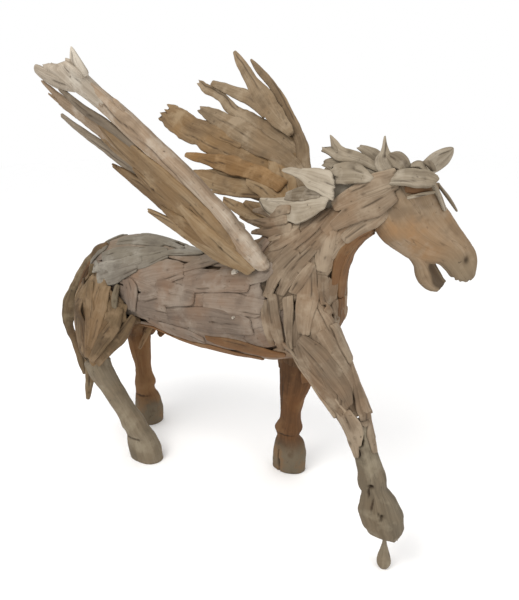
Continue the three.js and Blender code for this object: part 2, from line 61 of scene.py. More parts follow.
def rough(x, y, seed, octaves=3):
    # noise summed over octaves, each half the height and twice as fine
    return sum(noise(x * 2 ** k, y * 2 ** k, seed + 31 * k) / 2 ** k for k in range(octaves))


def spline(rows, t):
    # Catmull-Rom curve through the rows, t from 0 at the first to 1 at the last
    rows = np.asarray(rows, float)
    if rows.ndim == 1:
        rows = rows[:, None]
    ends = np.vstack([2 * rows[0] - rows[1], rows, 2 * rows[-1] - rows[-2]])
    place = np.clip(np.asarray(t, float), 0, 1) * (len(rows) - 1)
    i = np.minimum(place.astype(int), len(rows) - 2)
    f = (place - i)[..., None]
    a, b, c, d = ends[i], ends[i + 1], ends[i + 2], ends[i + 3]
    return b + 0.5 * f * (c - a + f * (2 * a - 5 * b + 4 * c - d + f * (3 * b - a - 3 * c + d)))


def unit(v):
    # vectors divided by their length
    return v / np.maximum(np.linalg.norm(v, axis=-1, keepdims=True), 1e-9)


def weave(name, tubes):
    # One mesh from closed tubes. A tube is a grid of rings by sides: each cell is a quad, and a fan
    # to the ring's centre closes each end. Its uv runs along and round the wood in metres.
    points, quads, fans, uvs, tones, crackAndShadeParts, hues = [], [], [], [], [], [], []
    base = 0
    for tube in tubes:
        p = tube["points"]
        rings, sides = p.shape[:2]
        ids = base + np.arange(rings * sides).reshape(rings, sides)
        nextIds = np.roll(ids, -1, axis=1)
        quads.append(np.stack([ids[:-1], nextIds[:-1], nextIds[1:], ids[1:]], -1).reshape(-1, 4))
        u = tube["along"][:, None] + np.zeros((1, sides + 1))
        uv = np.stack([u, tube["around"]], -1)
        corners = np.stack([uv[:-1, :-1], uv[:-1, 1:], uv[1:, 1:], uv[1:, :-1]], 2)
        uvs.append(corners.reshape(-1, 2))
        poles = base + rings * sides
        first = np.stack([nextIds[0], ids[0], np.full(sides, poles)], -1)
        last = np.stack([ids[-1], nextIds[-1], np.full(sides, poles + 1)], -1)
        fanUv = [np.stack([uv[0, 1:], uv[0, :-1], uv[0, 1:]], 1),
                 np.stack([uv[-1, :-1], uv[-1, 1:], uv[-1, 1:]], 1)]
        fans.append((np.vstack([first, last]), np.concatenate(fanUv).reshape(-1, 2)))
        points.append(np.vstack([p.reshape(-1, 3), p[0].mean(0), p[-1].mean(0)]))
        crackAndShadeParts.append(np.append(tube["crackAndShade"].reshape(-1), [0, 0]))
        for values, level in ((tones, tube["tone"]), (hues, tube.get("hue", 0))):
            spread = np.zeros((rings, sides)) + level
            values.append(np.append(spread.reshape(-1), [spread[0].mean(), spread[-1].mean()]))
        base += rings * sides + 2
    quadIds = np.vstack(quads)
    fanIds = np.vstack([f[0] for f in fans])
    mesh = bpy.data.meshes.new(name)
    mesh.vertices.add(base)
    mesh.vertices.foreach_set("co", np.vstack(points).astype(np.float32).ravel())
    loops = np.concatenate([quadIds.ravel(), fanIds.ravel()])
    mesh.loops.add(len(loops))
    mesh.loops.foreach_set("vertex_index", loops.astype(np.int32))
    counts = np.concatenate([np.full(len(quadIds), 4), np.full(len(fanIds), 3)])
    mesh.polygons.add(len(counts))
    mesh.polygons.foreach_set("loop_start", (np.cumsum(counts) - counts).astype(np.int32))
    mesh.polygons.foreach_set("use_smooth", np.ones(len(counts), bool))
    layer = mesh.uv_layers.new(name="grain")
    allUv = np.vstack(uvs + [f[1] for f in fans])
    layer.data.foreach_set("uv", allUv.astype(np.float32).ravel())
    for label, values in (("tone", tones), ("crackAndShade", crackAndShadeParts), ("hue", hues)):
        attribute = mesh.attributes.new(label, "FLOAT", "POINT")
        attribute.data.foreach_set("value", np.concatenate(values).astype(np.float32))
    mesh.update(calc_edges=True)
    mesh.validate()
    piece = bpy.data.objects.new(name, mesh)
    bpy.context.scene.collection.objects.link(piece)
    return piece


def facingOut(tube):
    # Turns the grid's sides round if the closed tube's volume comes out negative.
    p = tube["points"]
    q = np.roll(p, -1, axis=1)
    centre = p.reshape(-1, 3).mean(0)
    a, b, c, d = p[:-1] - centre, q[:-1] - centre, q[1:] - centre, p[1:] - centre
    volume = (np.cross(a, b) * c).sum() + (np.cross(a, c) * d).sum()
    if volume < 0:
        tube["points"] = p[:, ::-1]
        tube["crackAndShade"] = tube["crackAndShade"][:, ::-1]
        tube["around"] = tube["around"][:, ::-1]
        for key in ("hue", "tone"):
            if np.ndim(tube.get(key, 0)):
                tube[key] = tube[key][:, ::-1]
    return tube


def add(name, tubes, material, slot, *replaced):
    # one finished piece: its mesh, its wood and the solids it stands for; slot is not used
    piece = weave(name, [facingOut(t) for t in tubes])
    piece.data.materials.append(material)
    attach(piece, "root")
    if replaced:
        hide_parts(*replaced)
    return piece


def triangles(*nodes):
    # corner points and triangle numbers of CAD nodes, joined
    points, faces, base = [], [], 0
    for node in nodes:
        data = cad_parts[node].data
        co = np.empty(len(data.vertices) * 3, np.float32)
        data.vertices.foreach_get("co", co)
        data.calc_loop_triangles()
        tri = np.empty(len(data.loop_triangles) * 3, np.int32)
        data.loop_triangles.foreach_get("vertices", tri)
        points.append(co.reshape(-1, 3).astype(float))
        faces.append(tri.reshape(-1, 3) + base)
        base += len(data.vertices)
    return np.vstack(points), np.vstack(faces)


def skinOf(*nodes, grid=None):
    # the outer faces of CAD nodes, and of a closed grid of rings, for boards to be laid on
    points, faces = triangles(*nodes) if nodes else (np.zeros((0, 3)), np.zeros((0, 3), int))
    if grid is not None:
        ids = len(points) + np.arange(grid[..., 0].size).reshape(grid.shape[:2])
        after = np.roll(ids, -1, 1)
        a, b, c, d = ids[:-1], after[:-1], after[1:], ids[1:]
        cells = np.vstack([np.stack(corners, -1).reshape(-1, 3) for corners in ((a, b, c), (a, c, d))])
        points, faces = np.vstack([points, grid.reshape(-1, 3)]), np.vstack([faces, cells])
    return BVHTree.FromPolygons(points.tolist(), faces.tolist())


def cuts(points, faces, axis, count, inset=0.004):
    # Crossing segments of the triangles with count planes square to axis, as (k, 2, 3) arrays. The
    # first and last plane lie in from the ends by the share inset of the height.
    height = points @ axis
    low, high = height.min(), height.max()
    span = high - low
    found = []
    for level in np.linspace(low + inset * span, high - inset * span, count):
        h = height[faces] - level
        crossing = (h.min(1) < 0) & (h.max(1) > 0)
        tri, h = points[faces[crossing]], h[crossing]
        ends = []
        for a, b in ((0, 1), (1, 2), (2, 0)):
            t = h[:, a] / np.where(h[:, a] == h[:, b], 1, h[:, a] - h[:, b])
            spot = tri[:, a] + (tri[:, b] - tri[:, a]) * t[:, None]
            ends.append(np.where(((h[:, a] < 0) != (h[:, b] < 0))[:, None], spot, np.nan))
        pair = np.stack(ends, 1)
        order = np.argsort(np.isnan(pair[:, :, 0]), axis=1, kind="stable")[:, :2]
        found.append(np.take_along_axis(pair, order[:, :, None], 1))
    return found


def acrossGrid(grid, a):
    # reads a grid (n, m, 3) whose columns run from -1 to 1 at the across places a (n, k)
    n, m = grid.shape[:2]
    ends = np.concatenate([2 * grid[:, :1] - grid[:, 1:2], grid, 2 * grid[:, -1:] - grid[:, -2:-1]], 1)
    place = np.clip((a + 1) / 2, 0, 1) * (m - 1)
    i = np.minimum(place.astype(int), m - 2)
    f = (place - i)[..., None]
    row = np.arange(n)[:, None]
    p, q, r, s = (ends[row, i + k] for k in range(4))
    return q + 0.5 * f * (r - p + f * (2 * p - 5 * q + 4 * r - s + f * (3 * q - p - 3 * r + s)))


spare = 1.3     # the guide surface is this much wider than the board, so worn edges stay on it
wearAndShade = {  # lengths of the marks of wear on a board, and of the patches of painted shade under its edges, in mm along or across its grain
    "edgeLong": 80, "dentLong": 75, "dentWide": 38, "grainLong": 150, "grainWide": 7, "crackBend": 60,
    "crackWide": 2.6, "knot": (6, 11), "tearWide": 9, "shadeBlotchLong": 45, "shadeBlotchWide": 30}


def board(guide, up, half, thick, seed, grainStep=8, square=4, dent=1.5, ridge=0.3, crackCount=1,
          crackDeep=2.2, knots=1, wander=0.08, slant=(0, 0), jag=0.2, tip=(0, 0), blunt=0.5, tone=None):
    # A board follows a guide surface: its section is a flat-topped rounded outline, |across| to the
    # power square plus |height| to the power square being 1, swept from root to tip. Worn edges,
    # dents, grain ridges, drying cracks and knots move the outer face along its normal. tip lists
    # how far the end reaches on, from one edge to the other, and blunt is how square the ends are
    # in plan. Lengths are in millimetres, the guide in metres.
    rng = np.random.default_rng(seed)
    middle = guide[:, guide.shape[1] // 2]
    length = np.linalg.norm(np.diff(middle, axis=0), axis=1).sum() / mm
    widest, thickest = max(half), max(thick)
    capLong = min(thickest, length * 0.2)
    cap = capLong * (1 - np.cos(np.linspace(0, math.pi / 2, 5)))
    inner = np.linspace(capLong, length - capLong, max(6, int(length / grainStep)))[1:-1]
    s = np.concatenate([cap, inner, length - cap[::-1]])
    t = s / length
    close = np.sqrt(np.clip(1 - (1 - np.clip(np.minimum(s, length - s) / capLong, 0, 1)) ** 2, 0.0016, 1))
    outline = blunt + (1 - blunt) * close
    topCount = int(np.clip(2 * widest / (grainStep * 0.5), 8, 26))
    line = np.linspace(-1, 1, topCount)
    aTop = 0.45 * line + 0.55 * np.sin(math.pi / 2 * line)
    aLow = np.linspace(1, -1, max(5, topCount // 3))[1:-1]
    a = np.concatenate([aTop, aLow])
    side = np.concatenate([np.ones(topCount), -np.ones(len(aLow))])
    h = side * (1 - np.abs(a) ** square) ** (1 / square)
    w = spline(half, t)[:, 0]
    th = spline(thick, t)[:, 0] * close
    edge = np.stack([rough(s / wearAndShade["edgeLong"] + 9, s * 0 + k, seed + k) for k in (3, 5)],
                    1) * wander * 1.3
    right = (a > 0)[None, :]
    worn = 1 + np.where(right, edge[:, :1], edge[:, 1:])
    place = a[None, :] * worn * outline[:, None]
    y = place * w[:, None]
    x = s[:, None] + 0 * y
    stations = spline(guide.reshape(len(guide), -1), t).reshape(len(t), -1, 3)
    ways = unit(spline(up, t))
    mid = acrossGrid(stations, place / spare)
    along = unit(np.gradient(acrossGrid(stations, 0 * place), axis=0))
    across = acrossGrid(stations, place / spare + 0.05) - acrossGrid(stations, place / spare - 0.05)
    normal = unit(np.cross(along, across))
    normal *= np.where((normal * ways[:, None]).sum(-1, keepdims=True) < 0, -1, 1)
    face = smooth(h, -0.2, 0.7)[None, :] * close[:, None]
    relief = (dent * rough(x / wearAndShade["dentLong"] + seed % 17, y / wearAndShade["dentWide"], seed + 1)
              + ridge * rough(x / wearAndShade["grainLong"], y / wearAndShade["grainWide"], seed + 2, 2))
    crackAndShade = 0 * x
    for k in range(crackCount):
        start, run = rng.uniform(-0.1, 0.7) * length, rng.uniform(0.25, 0.6) * length
        line0 = rng.uniform(-0.7, 0.7) * widest
        course = line0 * w / widest + 5 * noise(s / wearAndShade["crackBend"], s * 0 + k, seed + 40)
        reach = smooth(s, start, start + 0.2 * run) * (1 - smooth(s, start + 0.8 * run, start + run))
        crackAndShade = np.maximum(crackAndShade, np.exp(-((y - course[:, None]) / wearAndShade["crackWide"]) ** 2) * reach[:,
                                                                                                    None])
    lift = relief - crackDeep * crackAndShade
    knotMask = 0 * x
    for k in range(knots):
        knotX, knotY = rng.uniform(0.15, 0.85) * length, rng.uniform(-0.5, 0.5) * widest
        gap = np.hypot((x - knotX) * 0.75, y - knotY) / rng.uniform(*wearAndShade["knot"])
        # a raised collar round a sunken middle
        lift = lift + 1.6 * np.exp(-(gap - 1) ** 2 * 4) - 3.0 * np.exp(-gap ** 2 * 5)
        knotMask = np.maximum(knotMask, np.exp(-gap ** 2 * 2.5))
    tips = (1 - smooth(t, 0, 0.12)) * slant[0] + smooth(t, 0.88, 1) * slant[1]
    atEnds = 0.3 * (1 - smooth(t, 0, 0.1)) + smooth(t, 0.9, 1)
    torn = (atEnds * w)[:, None] * jag * rough(y / wearAndShade["tearWide"], 0 * y + 4, seed + 6, 2)
    reachOn = smooth(t, 0.72, 1)[:, None] * spline(list(tip), (place + 1) / 2)[..., 0]
    shift = (tips[:, None] * y + torn) * outline[:, None] * mm + reachOn * mm
    points = mid + along * shift[..., None] + normal * ((h * th[:, None] + face * lift) * mm)[..., None]
    ring = np.hypot(np.diff(np.append(a, a[0])) * widest, np.diff(np.append(h, h[0])) * thickest)
    around = np.concatenate([[0], np.cumsum(ring)]) * mm + rng.uniform(0, 5)
    # painted shade: darker under the board's edges and less under the middle of the underside, in uneven
    # patches
    shadeVariation = 0.55 + 0.45 * noise(x / wearAndShade["shadeBlotchLong"], y / wearAndShade["shadeBlotchWide"] + seed % 13, seed + 50)
    under = (1 - smooth(h, -0.6, 0.25)) * (0.12 + 0.88 * smooth(np.abs(a), 0.5, 0.95))
    return {"points": points, "along": s * mm + rng.uniform(0, 9), "around": np.tile(around, (len(s), 1)),
            "crackAndShade": np.clip(np.maximum(0.8 * crackAndShade * face + 0.6 * knotMask * face, shadeVariation * under[None, :]),
                             0, 1),
            "tone": rng.uniform(-1, 1) if tone is None else tone}


def freeGuide(path, half, face, bow=0.0, count=9):
    # flat guide: a straight row across at each station of the path, its middle raised by bow
    t = np.linspace(0, 1, count)
    middle = spline(path, t)
    run = unit(np.gradient(middle, axis=0))
    faces = unit(spline(np.atleast_2d(face) if np.ndim(face) > 1 else [face, face], t))
    across = unit(np.cross(run, faces))
    up = unit(np.cross(across, run))
    a = np.linspace(-1, 1, 5)[None, :, None]
    w = (spline(half, t)[:, 0] * mm * spare)[:, None, None]
    grid = middle[:, None] + across[:, None] * a * w + up[:, None] * bow * w * (1 - a ** 2)
    return grid, up


def layGuide(skin, path, half, lift, flat=0.35, count=9, reach=0.12):
    # Guide laid on the body: the rough path is set down on the skin, and points across it are cast
    # inward onto the skin; flat draws them back toward a stiff straight board.
    t = np.linspace(0, 1, count)
    found = [skin.find_nearest(Vector(p)) for p in spline(np.array(path) * mm, t)]
    up = np.array([f[1] for f in found])
    up = np.where((up @ up.mean(0))[:, None] < 0, -up, up)
    for _ in range(5):
        padded = np.vstack([up[:1], up, up[-1:]])
        up = unit(padded[:-2] + 2 * padded[1:-1] + padded[2:])
    middle = np.array([f[0] for f in found])
    run = unit(np.gradient(middle, axis=0))
    up = unit(up - (up * run).sum(1, keepdims=True) * run)
    across = np.cross(run, up)
    columns = np.linspace(-1, 1, 5)
    w = spline(half, t)[:, 0] * mm * spare
    heights = np.zeros((count, 5))
    for i in range(count):
        for j in range(5):
            start = Vector(middle[i] + across[i] * columns[j] * w[i] + up[i] * reach)
            hit = skin.ray_cast(start, Vector(-up[i]), reach * 2)
            heights[i, j] = reach - hit[3] if hit[0] else np.nan    # above or below the middle's plane
    centre = np.nan_to_num(heights[:, 2:3], nan=0.0)
    heights = np.where(np.isnan(heights), centre - 0.3 * np.abs(columns) * w[:, None], heights)
    heights = np.clip(heights, centre - 0.7 * w[:, None], centre + 0.25 * w[:, None])
    heights = heights * (1 - flat) + centre * flat
    padded = np.vstack([heights[:1], heights, heights[-1:]])
    heights = (padded[:-2] + 2 * padded[1:-1] + padded[2:]) / 4
    heights += spline(lift, t) * mm
    grid = (middle[:, None] + across[:, None] * (columns[None, :] * w[:, None])[..., None]
            + up[:, None] * heights[..., None])
    return grid, up


def laid(skin, path, half, thick, lift, seed, flat=0.15, **finish):
    # a board of even thickness laid on the skin, raised by the first of lift at its root to the last
    guide, up = layGuide(skin, path, half, lift, flat)
    return board(guide, up, half, [thick, thick], seed, **finish)


def free(path, half, thick, face, seed, bow=0.0, count=9, **finish):
    # a board or stick that stands free, with its path in mm and its outer face toward face
    guide, up = freeGuide(np.array(path, float) * mm, half, face, bow, count)
    return board(guide, up, half, thick, seed, **finish)


def carvedRings(node, axis, count, sides=56, harmonics=6):
    # Outline of the node at even heights: the farthest crossing in each direction round the middle
    # of the cut, smoothed by keeping its lowest harmonics.
    axis = unit(np.array(axis, float))
    points, faces = triangles(node)
    first = unit(np.cross(axis, [0.0, 1.0, 0.02]))
    second = np.cross(axis, first)
    turn = np.linspace(0, 2 * math.pi, sides, endpoint=False)
    way = np.stack([np.cos(turn), np.sin(turn)], 1)
    rings = []
    for segment in cuts(points, faces, axis, count):
        flat = np.stack([segment @ first, segment @ second], -1)
        low, high = flat.reshape(-1, 2).min(0), flat.reshape(-1, 2).max(0)
        middle = (low + high) / 2
        a, b = flat[:, 0] - middle, flat[:, 1] - flat[:, 0]
        cross = way[:, None, 0] * b[None, :, 1] - way[:, None, 1] * b[None, :, 0]
        cross = np.where(np.abs(cross) < 1e-12, 1e-12, cross)
        r = (a[None, :, 0] * b[None, :, 1] - a[None, :, 1] * b[None, :, 0]) / cross
        share = (a[None, :, 0] * way[:, None, 1] - a[None, :, 1] * way[:, None, 0]) / cross
        r = np.where((share > -0.01) & (share < 1.01), r, 0).max(1)
        waves = np.fft.rfft(np.maximum(r, 0.003))
        waves[harmonics + 1:] = 0
        r = np.fft.irfft(waves, sides)
        level = (segment.reshape(-1, 3) @ axis).mean()
        rings.append(axis * level + first * middle[0] + second * middle[1]
                     + (way * r[:, None]) @ np.stack([first, second]))
    return np.array(rings)


carving = {  # lengths of the marks on carved wood in mm, along the piece or round it
    "dentLong": 60, "dentWide": 45, "grainLong": 150, "grainWide": 7, "crackBend": 80, "crackWide": 3,
    "rim": 9}


def carved(rings, seed, shrink=0.0, step=7, dent=2.0, ridge=0.5, crackCount=4, crackDeep=6, holes=()):
    # A carved piece: the smooth surface through the rings, with tool marks, grain and long cracks cut
    # along its normal. Two smaller rings close it in at each end.
    rng = np.random.default_rng(seed)
    centre = rings.mean(1)
    gaps = np.linalg.norm(np.diff(centre, axis=0), axis=1)
    length = gaps.sum() / mm
    fine = np.linspace(0, 1, max(8, int(length / step)))
    base = spline(rings.reshape(len(rings), -1), fine).reshape(len(fine), -1, 3)
    middle = base.mean(1, keepdims=True)
    tangent = np.roll(base, -1, 1) - np.roll(base, 1, 1)
    normal = unit(np.cross(np.gradient(base, axis=0), tangent))
    normal *= np.where((normal * (base - middle)).sum(-1).mean() < 0, -1, 1)
    radius = np.linalg.norm(base - middle, axis=-1) / mm
    sides = base.shape[1]
    turn = np.linspace(0, 2 * math.pi, sides, endpoint=False)[None, :]
    s = fine[:, None] * length + 0 * turn
    arc = turn * radius.mean()
    wrapX, wrapY = np.cos(turn) * radius.mean(), np.sin(turn) * radius.mean()
    wide, fineWide = carving["dentWide"], carving["grainWide"]
    relief = (dent * rough(s / carving["dentLong"] + wrapX / wide, wrapY / wide + seed, seed)
              + ridge * rough(s / carving["grainLong"] + 7, wrapX / fineWide + wrapY / fineWide, seed + 2,
                              2))
    crackAndShade = 0 * s
    for k in range(crackCount):
        start, runLong = rng.uniform(-0.1, 0.8) * length, rng.uniform(0.2, 0.55) * length
        course = rng.uniform(0, 2 * math.pi) + 0.1 * noise(s[:, 0] / carving["crackBend"], 0 * s[:, 0] + k,
                                                           seed + 9)
        gap = (turn - course[:, None] + math.pi) % (2 * math.pi) - math.pi
        reach = smooth(s, start, start + 0.25 * runLong) * (1 - smooth(s, start + 0.7 * runLong,
                                                                       start + runLong))
        crackAndShade = np.maximum(crackAndShade, np.exp(-(gap * radius / carving["crackWide"]) ** 2) * reach)
    lift = relief - crackDeep * crackAndShade - shrink
    for spot, spread, depth in holes:
        # a hole is a bell-shaped hollow with a ragged rim, darkened inside as painted shade
        ragged = 0.25 * noise(s / carving["rim"], arc / carving["rim"], seed + 3)
        gap = np.linalg.norm((base / mm - spot) / spread, axis=-1) + ragged
        hollow = 1 - smooth(gap, 0.5, 1.2)
        lift, crackAndShade = lift - depth * hollow, np.maximum(crackAndShade, 0.9 * hollow)
    points = base + normal * (lift * mm)[..., None]
    capSteps = np.array([0.55, 0.85])
    bottom = [middle[0] + (points[0] - middle[0]) * c for c in capSteps]
    top = [middle[-1] + (points[-1] - middle[-1]) * c for c in capSteps[::-1]]
    points = np.concatenate([np.array(bottom), points, np.array(top)])
    crackAndShade = np.concatenate([crackAndShade[:1], crackAndShade[:1], crackAndShade, crackAndShade[-1:], crackAndShade[-1:]])
    along = np.concatenate([[s[0, 0]] * 2, s[:, 0], [s[-1, 0]] * 2]) * mm + rng.uniform(0, 9)
    around = np.tile(np.append(arc[0], 2 * math.pi * radius.mean()), (len(points), 1)) * mm + rng.uniform(0,
                                                                                                          5)
    return {"points": points, "along": along, "around": around, "crackAndShade": np.clip(crackAndShade, 0, 1), "tone": 0.0}


# metres, degrees, and mm for the lens and the film's height
viewer = {"place": (1.4177, -1.8403, 1.593), "turn": 32.4, "dip": -17.4, "roll": -1.71, "lens": 32.26,
          "film": 36}
# metres and watts
studio = {"floorSize": 60, "floorColour": "#ffffff", "sky": 1.0, "lampSize": 2.4,
          "lampColour": (1.0, 0.97, 0.93),
          "target": (0, 0, 1.0), "keyPower": 95, "keyPlace": (-0.6, -2.6, 4.2),
          "fillPower": 22, "fillPlace": (3.4, -1.0, 2.0)}


def linear(colour):
    # sRGB hex to linear red, green, blue and one for alpha
    parts = [int(colour[k:k + 2], 16) / 255 for k in (1, 3, 5)]
    return [c / 12.92 if c <= 0.04045 else ((c + 0.055) / 1.055) ** 2.4 for c in parts] + [1]


def node(tree, kind, settings=None, **inputs):
    # One shader node: settings are its properties, inputs its sockets by name, or by i and a number.
    # An input is a value, a socket, or a node whose first output is meant.
    made = tree.nodes.new(kind)
    for key, value in (settings or {}).items():
        setattr(made, key, value)
    for key, value in inputs.items():
        socket = made.inputs[int(key[1:]) if key[0] == "i" and key[1:].isdigit() else key.replace("_", " ")]
        if isinstance(value, bpy.types.Node):
            value = value.outputs[0]
        if isinstance(value, bpy.types.NodeSocket):
            tree.links.new(value, socket)
        else:
            socket.default_value = value
    return made


def blank(name):
    # a new material with an empty node tree
    material = bpy.data.materials.new(name)
    material.use_nodes = True
    tree = material.node_tree
    tree.nodes.clear()
    return material, tree


def buildCamera():
    # turned left from the y axis, tipped down by dip, then rolled about the way it looks
    lens = bpy.data.cameras.new("camera")
    lens.sensor_fit = "VERTICAL"
    lens.sensor_height = viewer["film"]
    lens.lens = viewer["lens"]
    camera = bpy.data.objects.new("camera", lens)
    camera.location = viewer["place"]
    turn, dip, roll = (math.radians(viewer[k]) for k in ("turn", "dip", "roll"))
    forward = Vector((-math.sin(turn) * math.cos(dip), math.cos(turn) * math.cos(dip), math.sin(dip)))
    level = Vector((math.cos(turn), math.sin(turn), 0))
    upright = level.cross(forward)
    right = level * math.cos(roll) + upright * math.sin(roll)
    top = upright * math.cos(roll) - level * math.sin(roll)
    camera.rotation_mode = "QUATERNION"
    camera.rotation_quaternion = Matrix((right, top, -forward)).transposed().to_quaternion()
    bpy.context.scene.collection.objects.link(camera)
    bpy.context.scene.camera = camera


def buildStudio():
    # a pale floor and an even sky, with a large soft lamp high on the left and a weak one on the right
    half = studio["floorSize"] / 2
    sheet = bpy.data.meshes.new("floor")
    sheet.from_pydata([(-half, -half, 0), (half, -half, 0), (half, half, 0), (-half, half, 0)], [],
                      [(0, 1, 2, 3)])
    floor = bpy.data.objects.new("floor", sheet)
    bpy.context.scene.collection.objects.link(floor)
    paper, tree = blank("pale matt studio paper")
    shader = node(tree, "ShaderNodeBsdfPrincipled", Base_Color=linear(studio["floorColour"]), Roughness=0.9)
    node(tree, "ShaderNodeOutputMaterial", Surface=shader)
    sheet.materials.append(paper)
    world = bpy.data.worlds.new("studio sky")
    bpy.context.scene.world = world
    world.use_nodes = True
    sky = world.node_tree.nodes["Background"]
    sky.inputs["Color"].default_value = (1, 1, 1, 1)
    sky.inputs["Strength"].default_value = studio["sky"]
    for label in ("key", "fill"):
        lamp = bpy.data.lights.new(label, "AREA")
        lamp.shape = "DISK"
        lamp.size = studio["lampSize"]
        lamp.energy = studio[label + "Power"]
        lamp.color = studio["lampColour"]
        light = bpy.data.objects.new(label, lamp)
        light.location = studio[label + "Place"]
        away = Vector(studio["target"]) - light.location
        light.rotation_euler = away.to_track_quat("-Z", "Y").to_euler()
        bpy.context.scene.collection.objects.link(light)
    bpy.context.scene.view_settings.view_transform = "Standard"


buildCamera()
buildStudio()
print("studio ready")


# the crack colour also serves as painted shade under board edges, in hollows and in holes
stainsAndShade = {"greyGreen": "#6c6352", "speck": "#3a2e22", "crackAndShade": "#33271c"}


def driftwood(name, dark, middle, light, warm, warmth=0.25, streak=150):
    # Driftwood: softwood bleached grey by sun and salt and worn round by sand. The eye sees long
    # grey and tan streaks with the grain, thin dark drying cracks, and warmer wood where less worn.
    material, tree = blank(name)
    grain = node(tree, "ShaderNodeUVMap", {"uv_map": "grain"})
    place = node(tree, "ShaderNodeTexCoord").outputs["Object"]
    # streaks about 1/streak m apart across the grain and some twenty times as long
    fine = node(tree, "ShaderNodeMapping", Vector=grain, Scale=(7, streak, 1))
    fineNoise = node(tree, "ShaderNodeTexNoise", Vector=fine, Scale=1.0, Detail=5.0, Roughness=0.65)
    broad = node(tree, "ShaderNodeMapping", Vector=grain, Scale=(2.2, 26, 1))
    broadNoise = node(tree, "ShaderNodeTexNoise", Vector=broad, Scale=1.0, Detail=3.0, Roughness=0.6,
                      Distortion=0.4)
    patch = node(tree, "ShaderNodeTexNoise", Vector=place, Scale=5.5, Detail=3.0, Roughness=0.55)
    tone = node(tree, "ShaderNodeAttribute", {"attribute_name": "tone"}).outputs["Fac"]
    crackAndShade = node(tree, "ShaderNodeAttribute", {"attribute_name": "crackAndShade"}).outputs["Fac"]
    broadPart = node(tree, "ShaderNodeMath", {"operation": "MULTIPLY"}, i0=broadNoise, i1=0.55)
    mixed = node(tree, "ShaderNodeMath", {"operation": "MULTIPLY_ADD"}, i0=fineNoise, i1=0.4, i2=broadPart)
    toned = node(tree, "ShaderNodeMath", {"operation": "MULTIPLY_ADD"}, i0=tone, i1=0.1, i2=mixed)
    ramp = node(tree, "ShaderNodeValToRGB", Fac=toned)
    stops = ramp.color_ramp.elements
    stops[0].position, stops[0].color = 0.28, linear(dark)
    stops[1].position, stops[1].color = 0.72, linear(light)
    centre = stops.new(0.5)
    centre.color = linear(middle)
    # hue is above 0 where the wood stays warm and below 0 where it has gone grey-green
    hue = node(tree, "ShaderNodeAttribute", {"attribute_name": "hue"}).outputs["Fac"]
    warmPatch = node(tree, "ShaderNodeMapRange", Value=patch, From_Min=0.42, From_Max=0.68, To_Max=warmth)
    stayWarm = node(tree, "ShaderNodeMapRange", Value=hue, From_Min=0, From_Max=1, To_Max=0.75)
    warmMore = node(tree, "ShaderNodeMath", {"operation": "ADD", "use_clamp": True}, i0=warmPatch,
                    i1=stayWarm)
    warmed = node(tree, "ShaderNodeMix", {"data_type": "RGBA"}, i0=warmMore, i6=ramp, i7=linear(warm))
    goneGrey = node(tree, "ShaderNodeMapRange", Value=hue, From_Min=0, From_Max=-1, To_Max=0.75)
    greyed = node(tree, "ShaderNodeMix", {"data_type": "RGBA"}, i0=goneGrey, i6=warmed.outputs[2],
                  i7=linear(stainsAndShade["greyGreen"]))
    # hand-sized patches bleached by the sun, and darker ones where dirt has settled
    shifted = node(tree, "ShaderNodeMapping", Vector=place, Location=(3.7, 1.9, 5.1))
    bleach = node(tree, "ShaderNodeTexNoise", Vector=shifted, Scale=9.0, Detail=4.0, Roughness=0.62)
    sunned = node(tree, "ShaderNodeMapRange", Value=bleach, From_Min=0.52, From_Max=0.66, To_Max=0.6)
    pale = node(tree, "ShaderNodeMix", {"data_type": "RGBA"}, i0=sunned, i6=greyed.outputs[2],
                i7=linear(light))
    dirty = node(tree, "ShaderNodeMapRange", Value=bleach, From_Min=0.45, From_Max=0.3, To_Max=0.6)
    soiled = node(tree, "ShaderNodeMix", {"data_type": "RGBA"}, i0=dirty, i6=pale.outputs[2],
                  i7=linear(dark))
    # worm holes and rot specks about 8 mm across
    speck = node(tree, "ShaderNodeTexNoise", Vector=place, Scale=62.0, Detail=1.0, Roughness=0.5)
    rotted = node(tree, "ShaderNodeMapRange", Value=speck, From_Min=0.715, From_Max=0.8, To_Max=0.6)
    speckled = node(tree, "ShaderNodeMix", {"data_type": "RGBA"}, i0=rotted, i6=soiled.outputs[2],
                    i7=linear(stainsAndShade["speck"]))
    # hair cracks: the thin band where a long drawn noise passes its middle value
    hair = node(tree, "ShaderNodeMapping", Vector=grain, Scale=(3.2, 44, 1))
    hairNoise = node(tree, "ShaderNodeTexNoise", Vector=hair, Scale=1.0, Detail=1.5, Roughness=0.5)
    band = node(tree, "ShaderNodeMath", {"operation": "COMPARE"}, i0=hairNoise, i1=0.5, i2=0.007)
    gate = node(tree, "ShaderNodeMath", {"operation": "GREATER_THAN"}, i0=broadNoise, i1=0.5)
    hairLine = node(tree, "ShaderNodeMath", {"operation": "MULTIPLY"}, i0=band, i1=gate)
    hairSoft = node(tree, "ShaderNodeMath", {"operation": "MULTIPLY"}, i0=hairLine, i1=0.28)
    # the darkening read here holds drying cracks and knots of the wood, together with painted shade under
    # board edges, in the hollows of the head and in the holes of the legs
    deep = node(tree, "ShaderNodeMath", {"operation": "MAXIMUM"}, i0=crackAndShade, i1=hairSoft)
    shaded = node(tree, "ShaderNodeMix", {"data_type": "RGBA"}, i0=deep, i6=speckled.outputs[2],
                  i7=linear(stainsAndShade["crackAndShade"]))
    height = node(tree, "ShaderNodeMath", {"operation": "SUBTRACT"}, i0=mixed, i1=hairLine)
    bump = node(tree, "ShaderNodeBump", Strength=0.4, Distance=0.0018, Height=height)
    coarse = node(tree, "ShaderNodeMapRange", Value=mixed, To_Min=0.95, To_Max=0.72)
    shader = node(tree, "ShaderNodeBsdfPrincipled", Base_Color=shaded.outputs[2], Roughness=coarse,
                  Normal=bump, IOR=1.45, Specular_IOR_Level=0.25)
    node(tree, "ShaderNodeOutputMaterial", Surface=shader)
    return material


